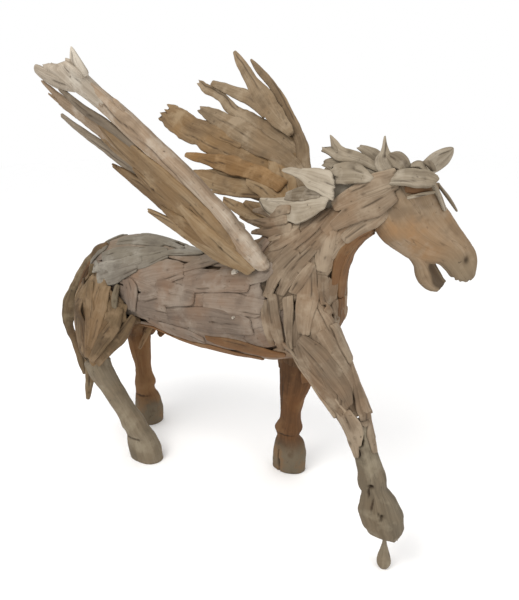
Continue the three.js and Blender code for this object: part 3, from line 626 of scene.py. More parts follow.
wood = {
    "barrel": driftwood("weathered softwood boards of the barrel", "#5a4d43", "#73665a", "#8c8073",
                        "#80624a", 0.45),
    "croup": driftwood("sun-grey softwood shingles", "#554e45", "#726c62", "#8d877c", "#766a5c", 0.25),
    "shoulder": driftwood("weathered staves of neck and shoulder", "#584a3b", "#786856", "#978874",
                          "#87684b", 0.35),
    "thigh": driftwood("brown-grey staves of the thigh", "#463828", "#65533c", "#836e55", "#745637", 0.33),
    # less weathered brown wood, darkened as painted shade for the belly, the throat and the far limbs
    "warm": driftwood("less weathered brown wood in painted shade", "#463422", "#644a33", "#80674a", "#865c36", 0.4),
    # brown darkened as painted shade, for the far legs
    "farLeg": driftwood("brown carved leg wood in painted shade", "#452f1d", "#60432a", "#785a3c", "#774c26", 0.3),
    # painted shade: dark wood for the core that shows through the gaps between the boards
    "shade": driftwood("inner driftwood in painted shade", "#4a3b2d", "#5c4b3b", "#6d5b49", "#604a35", 0.2),
    "wing": driftwood("bleached wing driftwood", "#6c5b48", "#8f7d69", "#b3a899", "#8f7155", 0.35),
    "farWing": driftwood("tan far wing driftwood", "#5a4b39", "#7b6a54", "#95856f", "#806648", 0.35),
    "warmWing": driftwood("warm brown wing driftwood", "#594631", "#7a654b", "#948166", "#85663f", 0.4),
    "amber": driftwood("honey-brown wing driftwood", "#5e482f", "#7c6244", "#977c5a", "#8d6534", 0.35),
    "greyWing": driftwood("grey wing driftwood", "#574d41", "#736758", "#8c8070", "#6f5f4a", 0.2),
    "palm": driftwood("sun-bleached log end", "#7e7365", "#a59a8b", "#c4bcae", "#8d7c66", 0.25),
    "head": driftwood("carved head wood", "#655442", "#7d6c57", "#958571", "#946c42", 0.3, 170),
    "hoof": driftwood("carved grey-green leg wood", "#5a5143", "#736857", "#8a806d", "#705c43", 0.3, 190),
    "pale": driftwood("pale bleached offcuts", "#5b5042", "#827766", "#a59b8b", "#7e6b52", 0.22),
    "tail": driftwood("bent tail driftwood", "#46382a", "#665741", "#84755d", "#6f5238", 0.35),
}
print("finishes ready")


trunkNodes = [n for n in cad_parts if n.endswith("_board") and "wing" not in n]
limbNodes = ["near_thigh", "far_thigh", "near_forearm", "far_forearm"]
lowerNodes = ["near_hind_lower_leg", "far_hind_lower_leg", "near_fore_lower_leg", "far_fore_lower_leg"]
seamedSkin = skinOf(*trunkNodes)


# x and z in mm of the trunk's middle from rump to poll, and the lean of its cuts in degrees
middleLine = [
    (-732, 942, -6), (-597, 914, -5), (-390, 912, -3), (-194, 881, 0), (50, 864, -1), (200, 872, -6),
    (275, 898, -13), (365, 935, -21), (438, 995, -30), (485, 1058, -33), (517, 1120, -30), (557, 1179, -24),
    (611, 1236, -14), (678, 1282, -2), (748, 1314, 8)]
bodyMiddle = 0.0297   # y of the horse's middle plane


def middleY(x):
    # y of the middle line in metres: the neck bends toward the far side as it rises
    return bodyMiddle + 0.048 * smooth(np.asarray(x), 0.33, 0.78)


def trunkRings(stations=61, sides=64, reach=0.5):
    # Rings of the trunk's outer surface: rays come in from outside toward the middle line. A ray that
    # slips through an open seam takes the median distance of its neighbours.
    line = spline([(x * mm, z * mm, math.radians(lean)) for x, z, lean in middleLine],
                  np.linspace(0, 1, stations))
    turn = np.linspace(0, 2 * math.pi, sides, endpoint=False)
    distance = np.zeros((stations, sides))
    ways = np.zeros((stations, sides, 3))
    for i, (x, z, lean) in enumerate(line):
        middle = np.array([x, middleY(x), z])
        rising = np.cos(turn)[:, None] * [math.sin(lean), 0, math.cos(lean)]
        ways[i] = rising + np.sin(turn)[:, None] * [0, -1.0, 0]
        for k in range(sides):
            hit = seamedSkin.ray_cast(Vector(middle + ways[i, k] * reach), Vector(-ways[i, k]), reach)
            distance[i, k] = reach - hit[3] if hit[0] else 0
    shifts = [np.roll(distance, k, 1) for k in (-2, -1, 0, 1, 2)]
    shifts += [np.vstack([distance[:1], distance[:-1]]), np.vstack([distance[1:], distance[-1:]])]
    usual = np.median(shifts, 0)
    distance = np.where(np.abs(distance - usual) > 0.006, usual, distance)
    x, z = line[:, 0], line[:, 1]
    middles = np.stack([x, middleY(x), z], 1)
    return middles[:, None] + ways * distance[..., None]


rings = trunkRings()
if skinOf(grid=rings).ray_cast(Vector((0, -2, 0.85)), Vector((0, 1, 0)))[1].y > 0:
    rings = rings[:, ::-1]
trunkSkin = skinOf(grid=rings)
bodySkin = skinOf(*limbNodes, *lowerNodes, grid=rings)
print("trunk measured")


def ringPoint(u, degrees):
    # point of the trunk's surface: u 0 at the rump to 1 at the poll, degrees from the top toward
    # the near side
    row = spline(rings.reshape(len(rings), -1), np.atleast_1d(u)).reshape(-1, rings.shape[1], 3)
    place = (np.atleast_1d(degrees) / 360 * rings.shape[1]) % rings.shape[1]
    low = place.astype(int)
    f = (place - low)[:, None]
    k = np.arange(len(row))
    return row[k, low] * (1 - f) + row[k, (low + 1) % rings.shape[1]] * f


def fieldBoards(seed=5):
    # The closed coat of boards under the shaped ones: rows round the trunk, their ends staggered and
    # lapped toward the rump. Boards of the barrel and of the neck come as two lists.
    rng = np.random.default_rng(seed)
    coat = [[], []]
    rows = 13
    for row in range(rows):
        u = rng.uniform(-0.08, 0.02)
        while u < 0.97:
            run = rng.uniform(0.14, 0.24)
            ends = np.clip([u, u + run], 0.0, 1.0)
            if ends[1] - ends[0] > 0.05:
                us = np.linspace(ends[0], ends[1], 4)
                turn = 360 * (row + 0.5) / rows + rng.uniform(-5, 5) + np.linspace(0, rng.uniform(-6, 6), 4)
                path = ringPoint(us, turn) / mm
                girth = np.linalg.norm(ringPoint(us, turn + 8) - ringPoint(us, turn - 8), axis=1) / mm
                half = girth / 16 * 360 / rows * 0.56
                half = half * np.array([rng.uniform(0.5, 0.9), 1, 1, rng.uniform(0.6, 0.95)])
                lift = (rng.uniform(-10, -8), rng.uniform(-7, -4))
                one = laid(trunkSkin, path, half, 6, lift, rng.integers(9999), grainStep=13, crackCount=0,
                           knots=int(rng.random() < 0.3))
                coat[int(us.mean() > 0.5)].append({**one, "hue": bodyHue(one["points"])})
            u += run * 0.92
    return coat


mirrorY = 2 * bodyMiddle / mm


def mirrored(rows, out=0):
    # the same lay-out of boards on the far side of the body, moved out by some mm
    return [([(x, mirrorY - y + out, z) for x, y, z in path], half) for path, half in rows]


def bodyHue(points):
    # Warm under the belly and where the chest and throat turn to the front, grey along the back.
    x, y, z = (points / mm).transpose(2, 0, 1)
    side = np.abs(y - bodyMiddle / mm)
    front = (1 - smooth(side, 50, 105)) * smooth(x, 500, 600) * (1 - smooth(z, 1230, 1340))
    warmFront = 0.4 * front * smooth(z, 940, 1040)
    warmBelly = 0.3 * (1 - smooth(z, 690, 800)) * (x < 450)
    return warmFront + warmBelly - 0.5 * smooth(z, 1020, 1080) * (x < 330)


def layOut(skin, rows, seed, lift=(-3, 0), thick=7, rise=1.5, **finish):
    # boards laid in order, each with its own wear; later boards lie a little higher
    rng = np.random.default_rng(seed)
    pieces = []
    for k, (path, half) in enumerate(rows):
        proud = rise * (k % 3)
        pieces.append(laid(skin, path, half, thick, (lift[0] + proud, lift[1] + proud),
                           int(rng.integers(9999)),
                           knots=int(rng.random() < 0.5), slant=tuple(rng.uniform(-0.4, 0.4, 2)), **finish))
    for piece in pieces:
        piece["hue"] = bodyHue(piece["points"])
    return pieces


croupShingles = [
    ([(-510, -60, 1110), (-395, -30, 1125), (-260, -15, 1100)], [24, 38, 20]),
    ([(-430, 5, 1135), (-340, 40, 1128), (-180, 25, 1090)], [18, 36, 18]),
    ([(-585, -125, 990), (-445, -135, 1010), (-300, -110, 1055)], [24, 38, 20]),
    ([(-345, -130, 1020), (-270, -110, 1050), (-190, -60, 1080)], [18, 34, 16]),
    ([(-565, -110, 1040), (-450, -105, 1065), (-340, -85, 1085)], [26, 36, 22]),
    ([(-400, -100, 1070), (-300, -75, 1085), (-215, -30, 1090)], [18, 32, 16]),
    ([(-640, -105, 1010), (-590, -130, 985), (-520, -150, 950)], [20, 26, 14]),
    ([(-560, -160, 945), (-445, -145, 985), (-310, -135, 1030)], [34, 48, 24]),
    ([(-230, -70, 1080), (-150, -10, 1083), (-60, 30, 1076)], [8, 38, 26]),
    ([(-690, 30, 1040), (-640, 30, 1085), (-560, 30, 1118)], [40, 52, 30]),
    ([(-700, -60, 990), (-640, -70, 1050), (-560, -70, 1095)], [24, 42, 26]),
]
barrelPlates = [
    ([(-195, -145, 770), (-45, -155, 755), (60, -145, 740)], [22, 40, 20]),
    ([(-130, -170, 830), (90, -175, 850), (310, -160, 855)], [34, 54, 36]),
    ([(-310, -160, 840), (-215, -165, 845), (-115, -175, 845)], [36, 46, 32]),
    ([(80, -170, 920), (235, -165, 935), (360, -155, 935)], [44, 46, 36]),
    ([(-285, -165, 900), (-130, -165, 935), (35, -170, 935)], [44, 58, 30]),
    ([(-40, -150, 980), (120, -135, 1010), (300, -145, 1035)], [36, 50, 40]),
    ([(-295, -155, 985), (-180, -135, 1010), (-65, -105, 1030)], [40, 60, 40]),
    ([(-80, -105, 1030), (10, -55, 1065), (140, -10, 1090)], [16, 42, 22]),
    ([(-360, -155, 970), (-340, -160, 910), (-360, -145, 815)], [30, 44, 24]),
    ([(100, 20, 1085), (190, 15, 1115), (290, 10, 1190)], [30, 48, 30]),
    ([(200, -70, 1095), (290, -85, 1130), (350, -75, 1190)], [22, 36, 24]),
    ([(275, -140, 1040), (355, -135, 1070), (400, -125, 1100)], [30, 28, 20]),
]
bellyBoards = [
    ([(70, -155, 760), (235, -140, 745), (415, -75, 715)], [14, 36, 26]),
    ([(-150, -90, 700), (60, -100, 690), (300, -60, 680)], [20, 44, 30]),
    ([(-400, -60, 712), (-200, -50, 700), (0, -30, 680)], [26, 50, 30]),
    ([(-20, 30, 672), (160, 30, 672), (380, 30, 690)], [26, 56, 34]),
    ([(-560, 30, 745), (-420, 30, 715), (-200, 20, 695)], [30, 56, 30]),
]
shoulderStaves = [
    ([(365, -150, 970), (375, -155, 880), (385, -125, 775)], [14, 20, 12]),
    ([(375, -150, 980), (410, -135, 1080), (485, -100, 1165)], [20, 34, 24]),
    ([(400, -150, 1000), (415, -145, 870), (420, -115, 755)], [20, 28, 14]),
    ([(435, -145, 995), (475, -125, 1085), (545, -70, 1175)], [14, 26, 18]),
    ([(465, -140, 995), (480, -165, 890), (500, -180, 800)], [22, 26, 12]),
    ([(480, -135, 1005), (515, -110, 1070), (545, -90, 1120)], [18, 22, 12]),
    ([(580, -70, 1075), (585, -75, 975), (600, -110, 930)], [22, 30, 18]),
    ([(535, -90, 1125), (540, -120, 1005), (555, -185, 870)], [18, 40, 26]),
    ([(605, -20, 960), (612, 0, 900), (630, -60, 860)], [22, 36, 20]),
    ([(515, -90, 1140), (560, -70, 1195), (595, -50, 1240)], [14, 24, 14]),
    ([(360, -100, 1160), (420, -90, 1195), (485, -70, 1230)], [14, 30, 18]),
    ([(345, -75, 1190), (410, -70, 1220), (475, -60, 1250)], [14, 26, 14]),
]
neckBoards = [
    ([(575, -75, 1085), (585, -60, 1190), (610, -40, 1260)], [26, 34, 18]),
    ([(570, -60, 1235), (640, -15, 1320), (695, 0, 1362), (770, 20, 1395)], [28, 46, 44, 24]),
    ([(630, -35, 1270), (700, -10, 1325), (770, 10, 1362)], [18, 30, 20]),
    ([(595, -60, 1140), (645, -30, 1215), (730, -5, 1275)], [22, 32, 20]),
    ([(425, -115, 1140), (475, -90, 1190), (540, -55, 1255), (590, -20, 1315)], [12, 18, 20, 8]),
]
pollBoards = [  # boards that close the neck's end behind the cheek and under the ear
    ([(600, -34, 1322), (680, -12, 1368), (752, 6, 1402), (816, 22, 1424)], [20, 40, 48, 36]),
    ([(600, -44, 1250), (680, -22, 1306), (748, -4, 1346), (808, 14, 1384)], [20, 42, 52, 38]),
    ([(640, -34, 1204), (694, -14, 1256), (736, 0, 1292), (780, 14, 1332)], [20, 34, 44, 36]),
    ([(620, 140, 1330), (690, 142, 1372), (750, 144, 1404), (800, 150, 1424)], [20, 38, 46, 34]),
    ([(620, 140, 1262), (690, 142, 1316), (750, 142, 1350), (790, 146, 1382)], [20, 40, 50, 36]),
    ([(650, 130, 1220), (694, 134, 1262), (730, 134, 1292), (770, 136, 1330)], [20, 34, 44, 34]),
    ([(700, 60, 1400), (760, 66, 1424), (826, 74, 1440)], [44, 54, 44]),
]
throatBoards = [
    ([(605, -20, 1025), (625, -15, 1130), (670, 5, 1200), (735, 20, 1240)], [20, 26, 26, 18]),
    ([(600, 30, 960), (618, 35, 1060), (660, 45, 1160), (720, 55, 1220)], [30, 40, 36, 24]),
    ([(560, 30, 790), (610, 30, 870), (618, 30, 960)], [30, 48, 30]),
]
thighStaves = [
    ([(-668, -120, 930), (-648, -150, 800), (-646, -165, 660), (-670, -165, 540)], [20, 28, 24, 14]),
    ([(-355, -125, 770), (-440, -110, 670), (-560, -120, 560)], [18, 36, 18]),
    ([(-600, -160, 930), (-580, -190, 850), (-585, -205, 750), (-620, -198, 640), (-655, -185, 540)],
     [22, 30, 32, 28, 16]),
    ([(-540, -150, 965), (-530, -185, 890), (-545, -200, 790)], [30, 38, 24]),
    ([(-425, -165, 935), (-430, -175, 880), (-436, -178, 825)], [14, 17, 13]),
    ([(-480, -170, 925), (-505, -200, 820), (-560, -205, 715), (-622, -195, 600)], [24, 34, 32, 20]),
    ([(-395, -170, 850), (-440, -185, 775), (-520, -197, 690), (-622, -194, 580)], [26, 36, 34, 20]),
    ([(-425, -150, 735), (-500, -156, 655), (-575, -170, 580), (-650, -187, 500)], [24, 36, 36, 20]),
]
stifleStaves = [  # staves that stand off the thigh's front edge and run down over the hock
    ([(-345, -150, 790), (-420, -165, 690), (-520, -175, 595), (-612, -180, 500)], [18, 32, 30, 16]),
    ([(-400, -175, 830), (-450, -188, 730), (-540, -195, 630), (-636, -196, 520)], [18, 32, 32, 15]),
]
groinStick = [(-500, 120, 640), (-560, 120, 560), (-618, 120, 474)]
forearmStaves = [
    ([(440, -90, 745), (570, -185, 715), (670, -205, 650), (730, -210, 600)], [14, 26, 22, 12]),
    ([(400, -130, 795), (500, -150, 740), (600, -170, 655), (700, -205, 580)], [16, 28, 26, 14]),
    ([(540, -185, 855), (630, -195, 795), (715, -200, 705), (755, -205, 640)], [26, 40, 32, 10]),
    ([(620, -170, 895), (680, -170, 815), (740, -155, 715), (790, -165, 620)], [24, 36, 32, 14]),
    ([(735, -210, 610), (775, -215, 550), (795, -215, 490)], [28, 34, 10]),
    ([(745, -150, 690), (782, -170, 615), (802, -180, 560)], [22, 32, 20]),
    ([(690, -190, 650), (735, -215, 580), (765, -220, 510), (790, -225, 440)], [18, 30, 26, 10]),
    ([(800, -140, 610), (830, -165, 530), (845, -185, 460)], [14, 26, 14]),
]
frontStaves = [  # stepped staves down the front of the raised forearm
    ([(690, -100, 800), (752, -118, 712), (796, -148, 640), (806, -160, 600)], [22, 32, 30, 26]),
    ([(640, -120, 905), (680, -118, 835), (712, -122, 768)], [24, 34, 30]),
]


farForearmStaves = [([(x + 50, 190, 900), (x + 24, 250, 800), (x, 272, 680), (x - 6, 268, 510)],
                     [18, 28, 27, 14])
                    for x in (282, 326, 370, 412)]
farForearmStaves += [([(x + 40, 150, 870), (x + 20, 128, 780), (x, 124, 670), (x - 6, 128, 500)],
                      [18, 28, 27, 14])
                     for x in (270, 316, 362, 405)]
farForearmStaves += [
    ([(540, 150, 880), (500, 170, 800), (455, 195, 690), (438, 200, 530)], [22, 34, 30, 14]),
    ([(500, 220, 860), (470, 235, 780), (440, 240, 670), (432, 235, 520)], [18, 28, 26, 12]),
    ([(240, 230, 800), (236, 235, 700), (240, 230, 520)], [16, 30, 14]),
    ([(250, 170, 780), (230, 180, 690), (236, 180, 530)], [18, 32, 16]),
]


def buildBody():
    # a closed coat of boards over a core darkened as painted shade, then the shaped boards that lap over it
    barrelCoat, neckCoat = fieldBoards()
    add("barrel_under_boards", barrelCoat, wood["barrel"], "trunk_driftwood", "back_board", "withers_board")
    add("neck_under_boards", neckCoat, wood["shoulder"], "trunk_driftwood", "crest_board")
    # a shrunk copy of the trunk in the dark inner wood, as painted shade seen through the gaps between the
    # boards
    under = carved(rings[::2], 3, shrink=16, step=14, dent=1, crackCount=0)
    add("trunk_inner_boards", [under], wood["shade"], "trunk_driftwood")
    groups = {"croup_shingles": (croupShingles, "croup", ("croup", "hip")),
              "barrel_plates": (barrelPlates, "barrel", ("rib",)),
              "shoulder_staves": (shoulderStaves, "shoulder", ("gullet",)),
              "neck_boards": (neckBoards, "shoulder", ("neck",))}
    for k, (name, (rows, finish, words)) in enumerate(groups.items()):
        strips = layOut(bodySkin, rows, 100 + k) + layOut(bodySkin, mirrored(rows), 200 + k)
        covered = [n for n in trunkNodes if any(word in n for word in words)]
        add(name, strips, wood[finish], "trunk_driftwood", *covered)
    # the belly's boards take the darker brown wood, as painted shade under the body
    strips = layOut(bodySkin, bellyBoards, 110)
    add("belly_boards", strips, wood["warm"], "trunk_driftwood", "belly_board", "groin_board")
    pollFaces = [(0.1, -0.98, 0.2)] * 3 + [(0.1, 0.98, 0.2)] * 3 + [(-0.3, 0, 0.95)]
    strips = [free(path, half, [9, 11, 11], face, 130 + k, 0.15)
              for k, ((path, half), face) in enumerate(zip(pollBoards, pollFaces))]
    add("poll_boards", strips, wood["shoulder"], "trunk_driftwood")
    strips = layOut(bodySkin, throatBoards, 111) + layOut(bodySkin, mirrored(throatBoards[:1]), 211)
    for strip in strips:
        strip["tone"] -= 0.8    # the throat is darkened as painted shade under the neck
    add("throat_boards", strips, wood["warm"], "trunk_driftwood", "throat_board")


def buildChips():
    # two pale chips caught between the boards of the barrel
    chips = [([(203, -128, 1050), (224, -120, 1058), (245, -116, 1064)], [9, 13, 8], 9),
             ([(226, -168, 880), (232, -168, 883), (239, -168, 886)], [5, 6, 4], 7)]
    add("barrel_chips", [laid(bodySkin, path, half, 6, (lift, lift), 170, blunt=0.3, tone=2, grainStep=3)
                         for path, half, lift in chips], wood["palm"], "bleached_offcut")


buildBody()
buildChips()
print("body laid")


def staves(node, axis, seed, count=9, spread=1.15, lift=(1, 2), **finish):
    # straight staves side by side all round a limb, their ends stepped
    rng = np.random.default_rng(seed)
    skin = skinOf(node)
    limb = carvedRings(node, axis, 9)
    pieces = []
    for k in range(count):
        place = (k + rng.uniform(-0.15, 0.15)) / count * limb.shape[1]
        column = int(place) % limb.shape[1]
        start, end = rng.uniform(0, 0.06), rng.uniform(0.9, 1.0)
        t = np.linspace(start, end, 4)
        ringsAt = spline(limb.reshape(len(limb), -1), t).reshape(4, -1, 3)
        path = ringsAt[:, column] / mm
        girth = np.linalg.norm(np.roll(ringsAt, -1, 1) - ringsAt, axis=-1).sum(1) / mm
        half = girth / count / 2 * spread * np.array([0.7, 1, 1, 0.7])
        pieces.append(laid(skin, path, half, 6, lift, int(rng.integers(9999)), flat=0.25, grainStep=11,
                           **finish))
    return pieces


# rot holes and splits in the lower legs: place in mm, then reach fore and aft, sideways and up, and depth
legHoles = {
    "near_fore_lower_leg": [((800, -212, 512), (12, 30, 26), 16), ((797, -216, 458), (6, 30, 18), 9),
                            ((853, -238, 346), (13, 30, 9), 14), ((846, -238, 322), (5, 30, 26), 6),
                            ((866, -258, 290), (5, 30, 40), 5), ((905, -280, 250), (9, 40, 17), 16),
                            ((894, -280, 262), (5, 40, 9), 8)],
    "far_fore_lower_leg": [((262, 118, 60), (5, 60, 90), 9), ((290, 100, 205), (90, 60, 5), 5)],
    "near_hind_lower_leg": [((-425, -200, 128), (90, 60, 6), 4), ((-640, -215, 470), (5, 30, 50), 5)],
    "far_hind_lower_leg": [((-650, 100, 175), (90, 60, 6), 5)],
}


def buildLegs():
    # staves stand round the upper legs, and each lower leg is one carved piece
    # the far side's stifle staves take the darker brown wood, as painted shade
    sides = {"near": (stifleStaves, -0.95, "thigh"), "far": (mirrored(stifleStaves, 30), 0.95, "warm")}
    for side, (rows, outward, finish) in sides.items():
        strips = [free(path, half, [10, 13, 13, 8], (0.2, outward, 0.1), 150 + k, 0.15)
                  for k, (path, half) in enumerate(rows)]
        if side == "far":
            strips.append(free(groinStick, [12, 15, 10], [8, 10, 7], (0.3, -0.95, 0.1), 159, tone=3))
        add(side + "_stifle_staves", strips, wood[finish], "leg_stave_driftwood")
    # the far thigh and far forearm take the darker brown wood, as painted shade
    coats = {"near_thigh": (thighStaves, (0, 0, 1), "thigh"),
             "far_thigh": (mirrored(thighStaves, 30), (0, 0, 1), "warm"),
             "near_forearm": (forearmStaves, (0.45, 0, -1), "shoulder"),
             "far_forearm": (farForearmStaves, (0, 0, -1), "warm")}
    for k, (limb, (rows, axis, finish)) in enumerate(coats.items()):
        strips = layOut(bodySkin, rows, 130 + k, rise=2.5)
        if limb.endswith("thigh"):    # the rear stave is darkened as painted shade; the hip stave is darker and has gone grey
            strips[0]["tone"], strips[4]["tone"], strips[4]["hue"] = -2, -1, -1
        if limb == "near_forearm":
            strips += layOut(bodySkin, frontStaves, 139, lift=(3, 8), thick=9, blunt=0.9)
        add(limb + "_staves", strips, wood[finish], "leg_stave_driftwood", limb)
        core = carved(carvedRings(limb, axis, 20), 140 + k, shrink=9, step=12, dent=1, crackCount=0)
        under = staves(limb, axis, 8 + k, lift=(-6, -4))
        add(limb + "_inner_boards", under + [core], wood[finish], "leg_stave_driftwood")
    lowerLegs = {"near_hind_lower_leg": ((0, 0, 1), "hoof", 21),
                 "far_hind_lower_leg": ((0, 0, 1), "farLeg", 22),
                 "far_fore_lower_leg": ((0, 0, 1), "farLeg", 23),
                 "near_fore_lower_leg": ((0.15, 0, -1), "hoof", 24)}
    for limb, (axis, finish, seed) in lowerLegs.items():
        shape = carvedRings(limb, axis, 26, 72)
        if axis[2] > 0:    # the leg's top runs on up inside the staves
            shape = np.concatenate([shape, shape[-1:] + np.array([0, 0, 0.06])])
        leg = carved(shape, seed, step=5, crackCount=2, crackDeep=2.5, dent=1.6, ridge=0.3,
                     holes=legHoles.get(limb, []))
        if finish == "farLeg":
            hoof = smooth(-leg["points"][..., 2], -0.2, -0.1)    # the hooves have gone grey-green
            leg["hue"] = -hoof
            leg["tone"] = (1.8 if "hind" in limb else -0.6) * (1 - hoof) - 3 * hoof
        if limb == "near_fore_lower_leg":
            leg["tone"] = -1.2
        add("carved_" + limb, [leg], wood[finish], "carved_leg_wood", limb)


buildLegs()
print("legs made")


wingReach = unit(np.array([-0.615, -0.374, 0.694]))   # up the leading log
wingBack = unit(np.array([-0.788, 0.321, -0.525]))    # back across the feathers
wingOut = np.cross(wingReach, wingBack)
nearRoot = np.array([389.7, -155.3, 1125])
farRoot = np.array([324.7, 204.7, 1290])


def wingSide(far):
    # root in mm, and the signs of the wing's directions: the far wing mirrors the near one
    return (farRoot, np.array([1, -1, 1])) if far else (nearRoot, np.array([1, 1, 1]))


def wingPath(path, far):
    # wing places (up the log, back, out of the wing's plane) in mm to points in metres
    root, signs = wingSide(far)
    return (np.array(path, float) @ (np.stack([wingReach, wingBack, wingOut]) * signs) + root) * mm


def feather(path, half, seed, far=False, thick=(9, 11, 10, 4), bow=0.12, twist=0.0, **finish):
    # a board in the wing's plane that turns by twist from its root to its tip
    root, signs = wingSide(far)
    face, back = wingOut * signs, wingBack * signs
    if face @ (np.array(viewer["place"]) - root * mm) < 0:
        face = -face
    faces = [unit(face - twist * back), face, unit(face + twist * back)]
    guide, up = freeGuide(wingPath(path, far), half, faces, bow)
    return board(guide, up, half, list(thick), seed, **finish)


def rootFirst(path, half, seed, tip, far=False):
    # a feather listed from its tip is built from its root, so that its broken tip comes last
    return feather(path[::-1], half[::-1], seed, far, (10, 11, 11, 6), twist=0.12, tip=tip, wander=0.12)


nearLog = {"path": [[-22, 40, 0], [60, 30, 0], [200, -12, 0], [400, -46, 0], [600, -58, 0], [780, -56, 0],
                    [900, -50, 0]],
           "half": [24, 42, 44, 40, 38, 38, 30], "thick": [20, 31, 32, 28, 27, 26, 12]}
# the log's broken top: a palm with a rounded prong on one side and a horn on the other
logTop = [
    ([[700, -56, 0], [820, -54, 0], [900, -48, 0], [965, -42, 0]], [30, 36, 46, 76], [12, 26, 24, 13],
     [70, 74, 44, 14, -4, -12, -14]),
    ([[886, -24, 0], [950, 14, 4], [1010, 40, 6], [1056, 54, 4]], [16, 29, 24, 17], [14, 19, 17, 12],
     [0, 0]),
    ([[880, -84, -2], [920, -108, -4], [958, -146, -8]], [26, 27, 4], [16, 13, 4], [0, 0]),
    ([[880, -92, 10], [920, -88, 16], [956, -84, 12]], [12, 22, 12], [9, 12, 8], [0, 0]),
    ([[715, -88, 0], [745, -104, 4], [765, -110, 6]], [12, 9, 5], [10, 8, 4], [0, 0]),
]
# each feather: its way from tip to root, half widths, and how its tip is broken
nearFeathers = {
    "near_wing_feather_1": ([[952, 32, 14], [848, 29, 14], [787, 15, 14], [720, 2, 12], [600, -4, 8]],
                            [10, 18, 20, 20, 14], [0, 0], "greyWing"),
    "near_wing_feather_2": ([[1010, 104, -2], [940, 104, -4], [870, 92, -4], [780, 80, -6], [640, 62, -10],
                             [380, 52, -20], [140, 50, -34]],
                            [20, 28, 28, 32, 52, 68, 72], [-22, -64, -60, -20, 14, 10], "wing"),
    "near_wing_feather_3": ([[926, 190, -14], [856, 184, -14], [780, 172, -16], [700, 164, -20],
                             [560, 146, -30],
                             [340, 122, -46], [130, 104, -66]],
                            [8, 15, 18, 24, 40, 58, 50], [0, 0], "greyWing"),
    "near_wing_feather_4": ([[662, 206, -12], [520, 176, -12], [330, 140, -10], [110, 98, -14]],
                            [14, 40, 62, 52],
                            [-26, 12, -22, 16, -20, 4], "warmWing"),
    "near_wing_feather_5": ([[467, 250, 14], [340, 196, 14], [210, 152, 14], [60, 110, 12]],
                            [9, 38, 58, 46],
                            [6, -8, 4], "warmWing"),
}
nearFill = [
    ([[790, 52, 0], [640, 44, 8], [440, 40, 12], [240, 52, 12]], [16, 44, 56, 44], [4, -10, 6]),
    ([[590, 118, 2], [440, 112, 4], [240, 100, 4]], [18, 44, 40], [-10, 8, -6]),
    ([[640, -2, 18], [470, -8, 20], [300, 4, 20], [110, 36, 18]], [12, 30, 36, 28], [8, -8]),
    ([[430, 170, 16], [290, 142, 18], [120, 112, 16]], [12, 42, 38], [-8, 6]),
    ([[400, 66, 22], [280, 74, 26], [150, 80, 26], [10, 84, 20]], [14, 44, 48, 36], [6, -6, 10]),
    ([[820, 104, -8], [700, 96, -8], [540, 92, -10]], [10, 28, 24], [0, 6]),
    ([[330, 212, 8], [240, 186, 12], [120, 150, 10]], [8, 32, 32], [4, -6]),
]


farLeader = {"path": [[842, -104, 2], [734, -120, 2], [597, -142, 0], [472, -148, 0], [374, -143, 4],
                      [279, -138, 8],
                     [187, -112, 14], [60, -50, 30], [-60, 0, 40]],
             "half": [5, 18, 20, 20, 22, 25, 30, 38, 38], "thick": [5, 10, 12, 14, 18, 18]}
farFork = {"path": [[924, -54, -24], [826, -58, -24], [718, -64, -24], [587, -72, -24], [471, -86, -24],
                    [365, -105, -24],
                    [305, -118, -22]],
           "half": [8, 23, 29, 46, 46, 30, 16], "thick": [5, 10, 12, 12, 9]}
farBranch = {"path": [[845, 116, -24], [779, 75, -24], [694, 25, -24], [599, -29, -24], [475, -67, -24]],
             "half": [14, 22, 27, 33, 26], "thick": [5, 10, 11, 11]}
farFeathers = {
    "far_wing_feather_1": ([[930, 182, -2], [858, 156, -2], [758, 108, 0], [632, 74, 2], [529, 23, 4],
                            [421, -22, 6],
                            [313, -63, 10], [200, -96, 20], [60, -40, 40]],
                           [9, 23, 24, 30, 40, 47, 42, 30, 24], [6, -12, 10], "farWing"),
    "far_wing_feather_2": ([[770, 230, -10], [676, 177, -10], [541, 111, -12], [408, 50, -12],
                            [287, -9, -12], [172, -66, -8],
                            [60, -50, 10]], [10, 40, 54, 55, 46, 30, 24], [10, -12, 8], "farWing"),
    "far_wing_feather_3": ([[900, 404, 2], [800, 356, 2], [679, 300, 2], [552, 225, 2], [427, 156, 0],
                            [318, 87, 0],
                            [200, 0, 6], [40, -10, 30]],
                           [46, 62, 66, 66, 58, 46, 36, 30], [34, 4, 36, -30, 20, -26, 28, 2], "warmWing"),
    "far_wing_feather_4": ([[578, 388, -14], [492, 309, -14], [402, 224, -14], [303, 149, -16],
                            [198, 72, -20],
                            [90, 20, -26]], [11, 28, 36, 44, 42, 34], [0, 0], "amber"),
    "far_wing_feather_5": ([[495, 400, 16], [393, 323, 16], [297, 243, 16], [216, 163, 16], [100, 70, 18],
                            [0, 50, 20]],
                           [11, 44, 48, 46, 44, 40], [4, -6], "warmWing"),
}
farFill = [
    ([[240, 300, 2], [164, 257, 0], [90, 209, 0], [0, 140, 0]], [12, 28, 34, 34], [-6, 6]),
    ([[150, 206, -18], [69, 153, -18], [-20, 90, -16]], [10, 26, 30], [4, -4]),
    ([[330, 360, -6], [230, 252, -6], [143, 148, -8], [30, 30, -10]], [4, 9, 11, 10], [0, 0]),
    ([[115, 254, 4], [21, 173, 4], [-66, 91, 4]], [12, 28, 28], [5, -5]),
    ([[430, -70, 14], [260, -70, 18], [40, -20, 24]], [20, 50, 56], [4, -8]),
    ([[300, 60, 20], [160, 50, 24], [-40, 40, 24]], [30, 60, 60], [0, 8]),
    ([[330, -10, -8], [200, 0, -8], [20, 30, -6]], [20, 46, 50], [6, -8]),
    ([[700, 262, -10], [560, 186, -10], [420, 100, -14]], [10, 30, 26], [8, -8]),
    ([[240, 160, -16], [120, 90, -16], [-30, 60, -10]], [16, 42, 46], [-6, 6]),
]


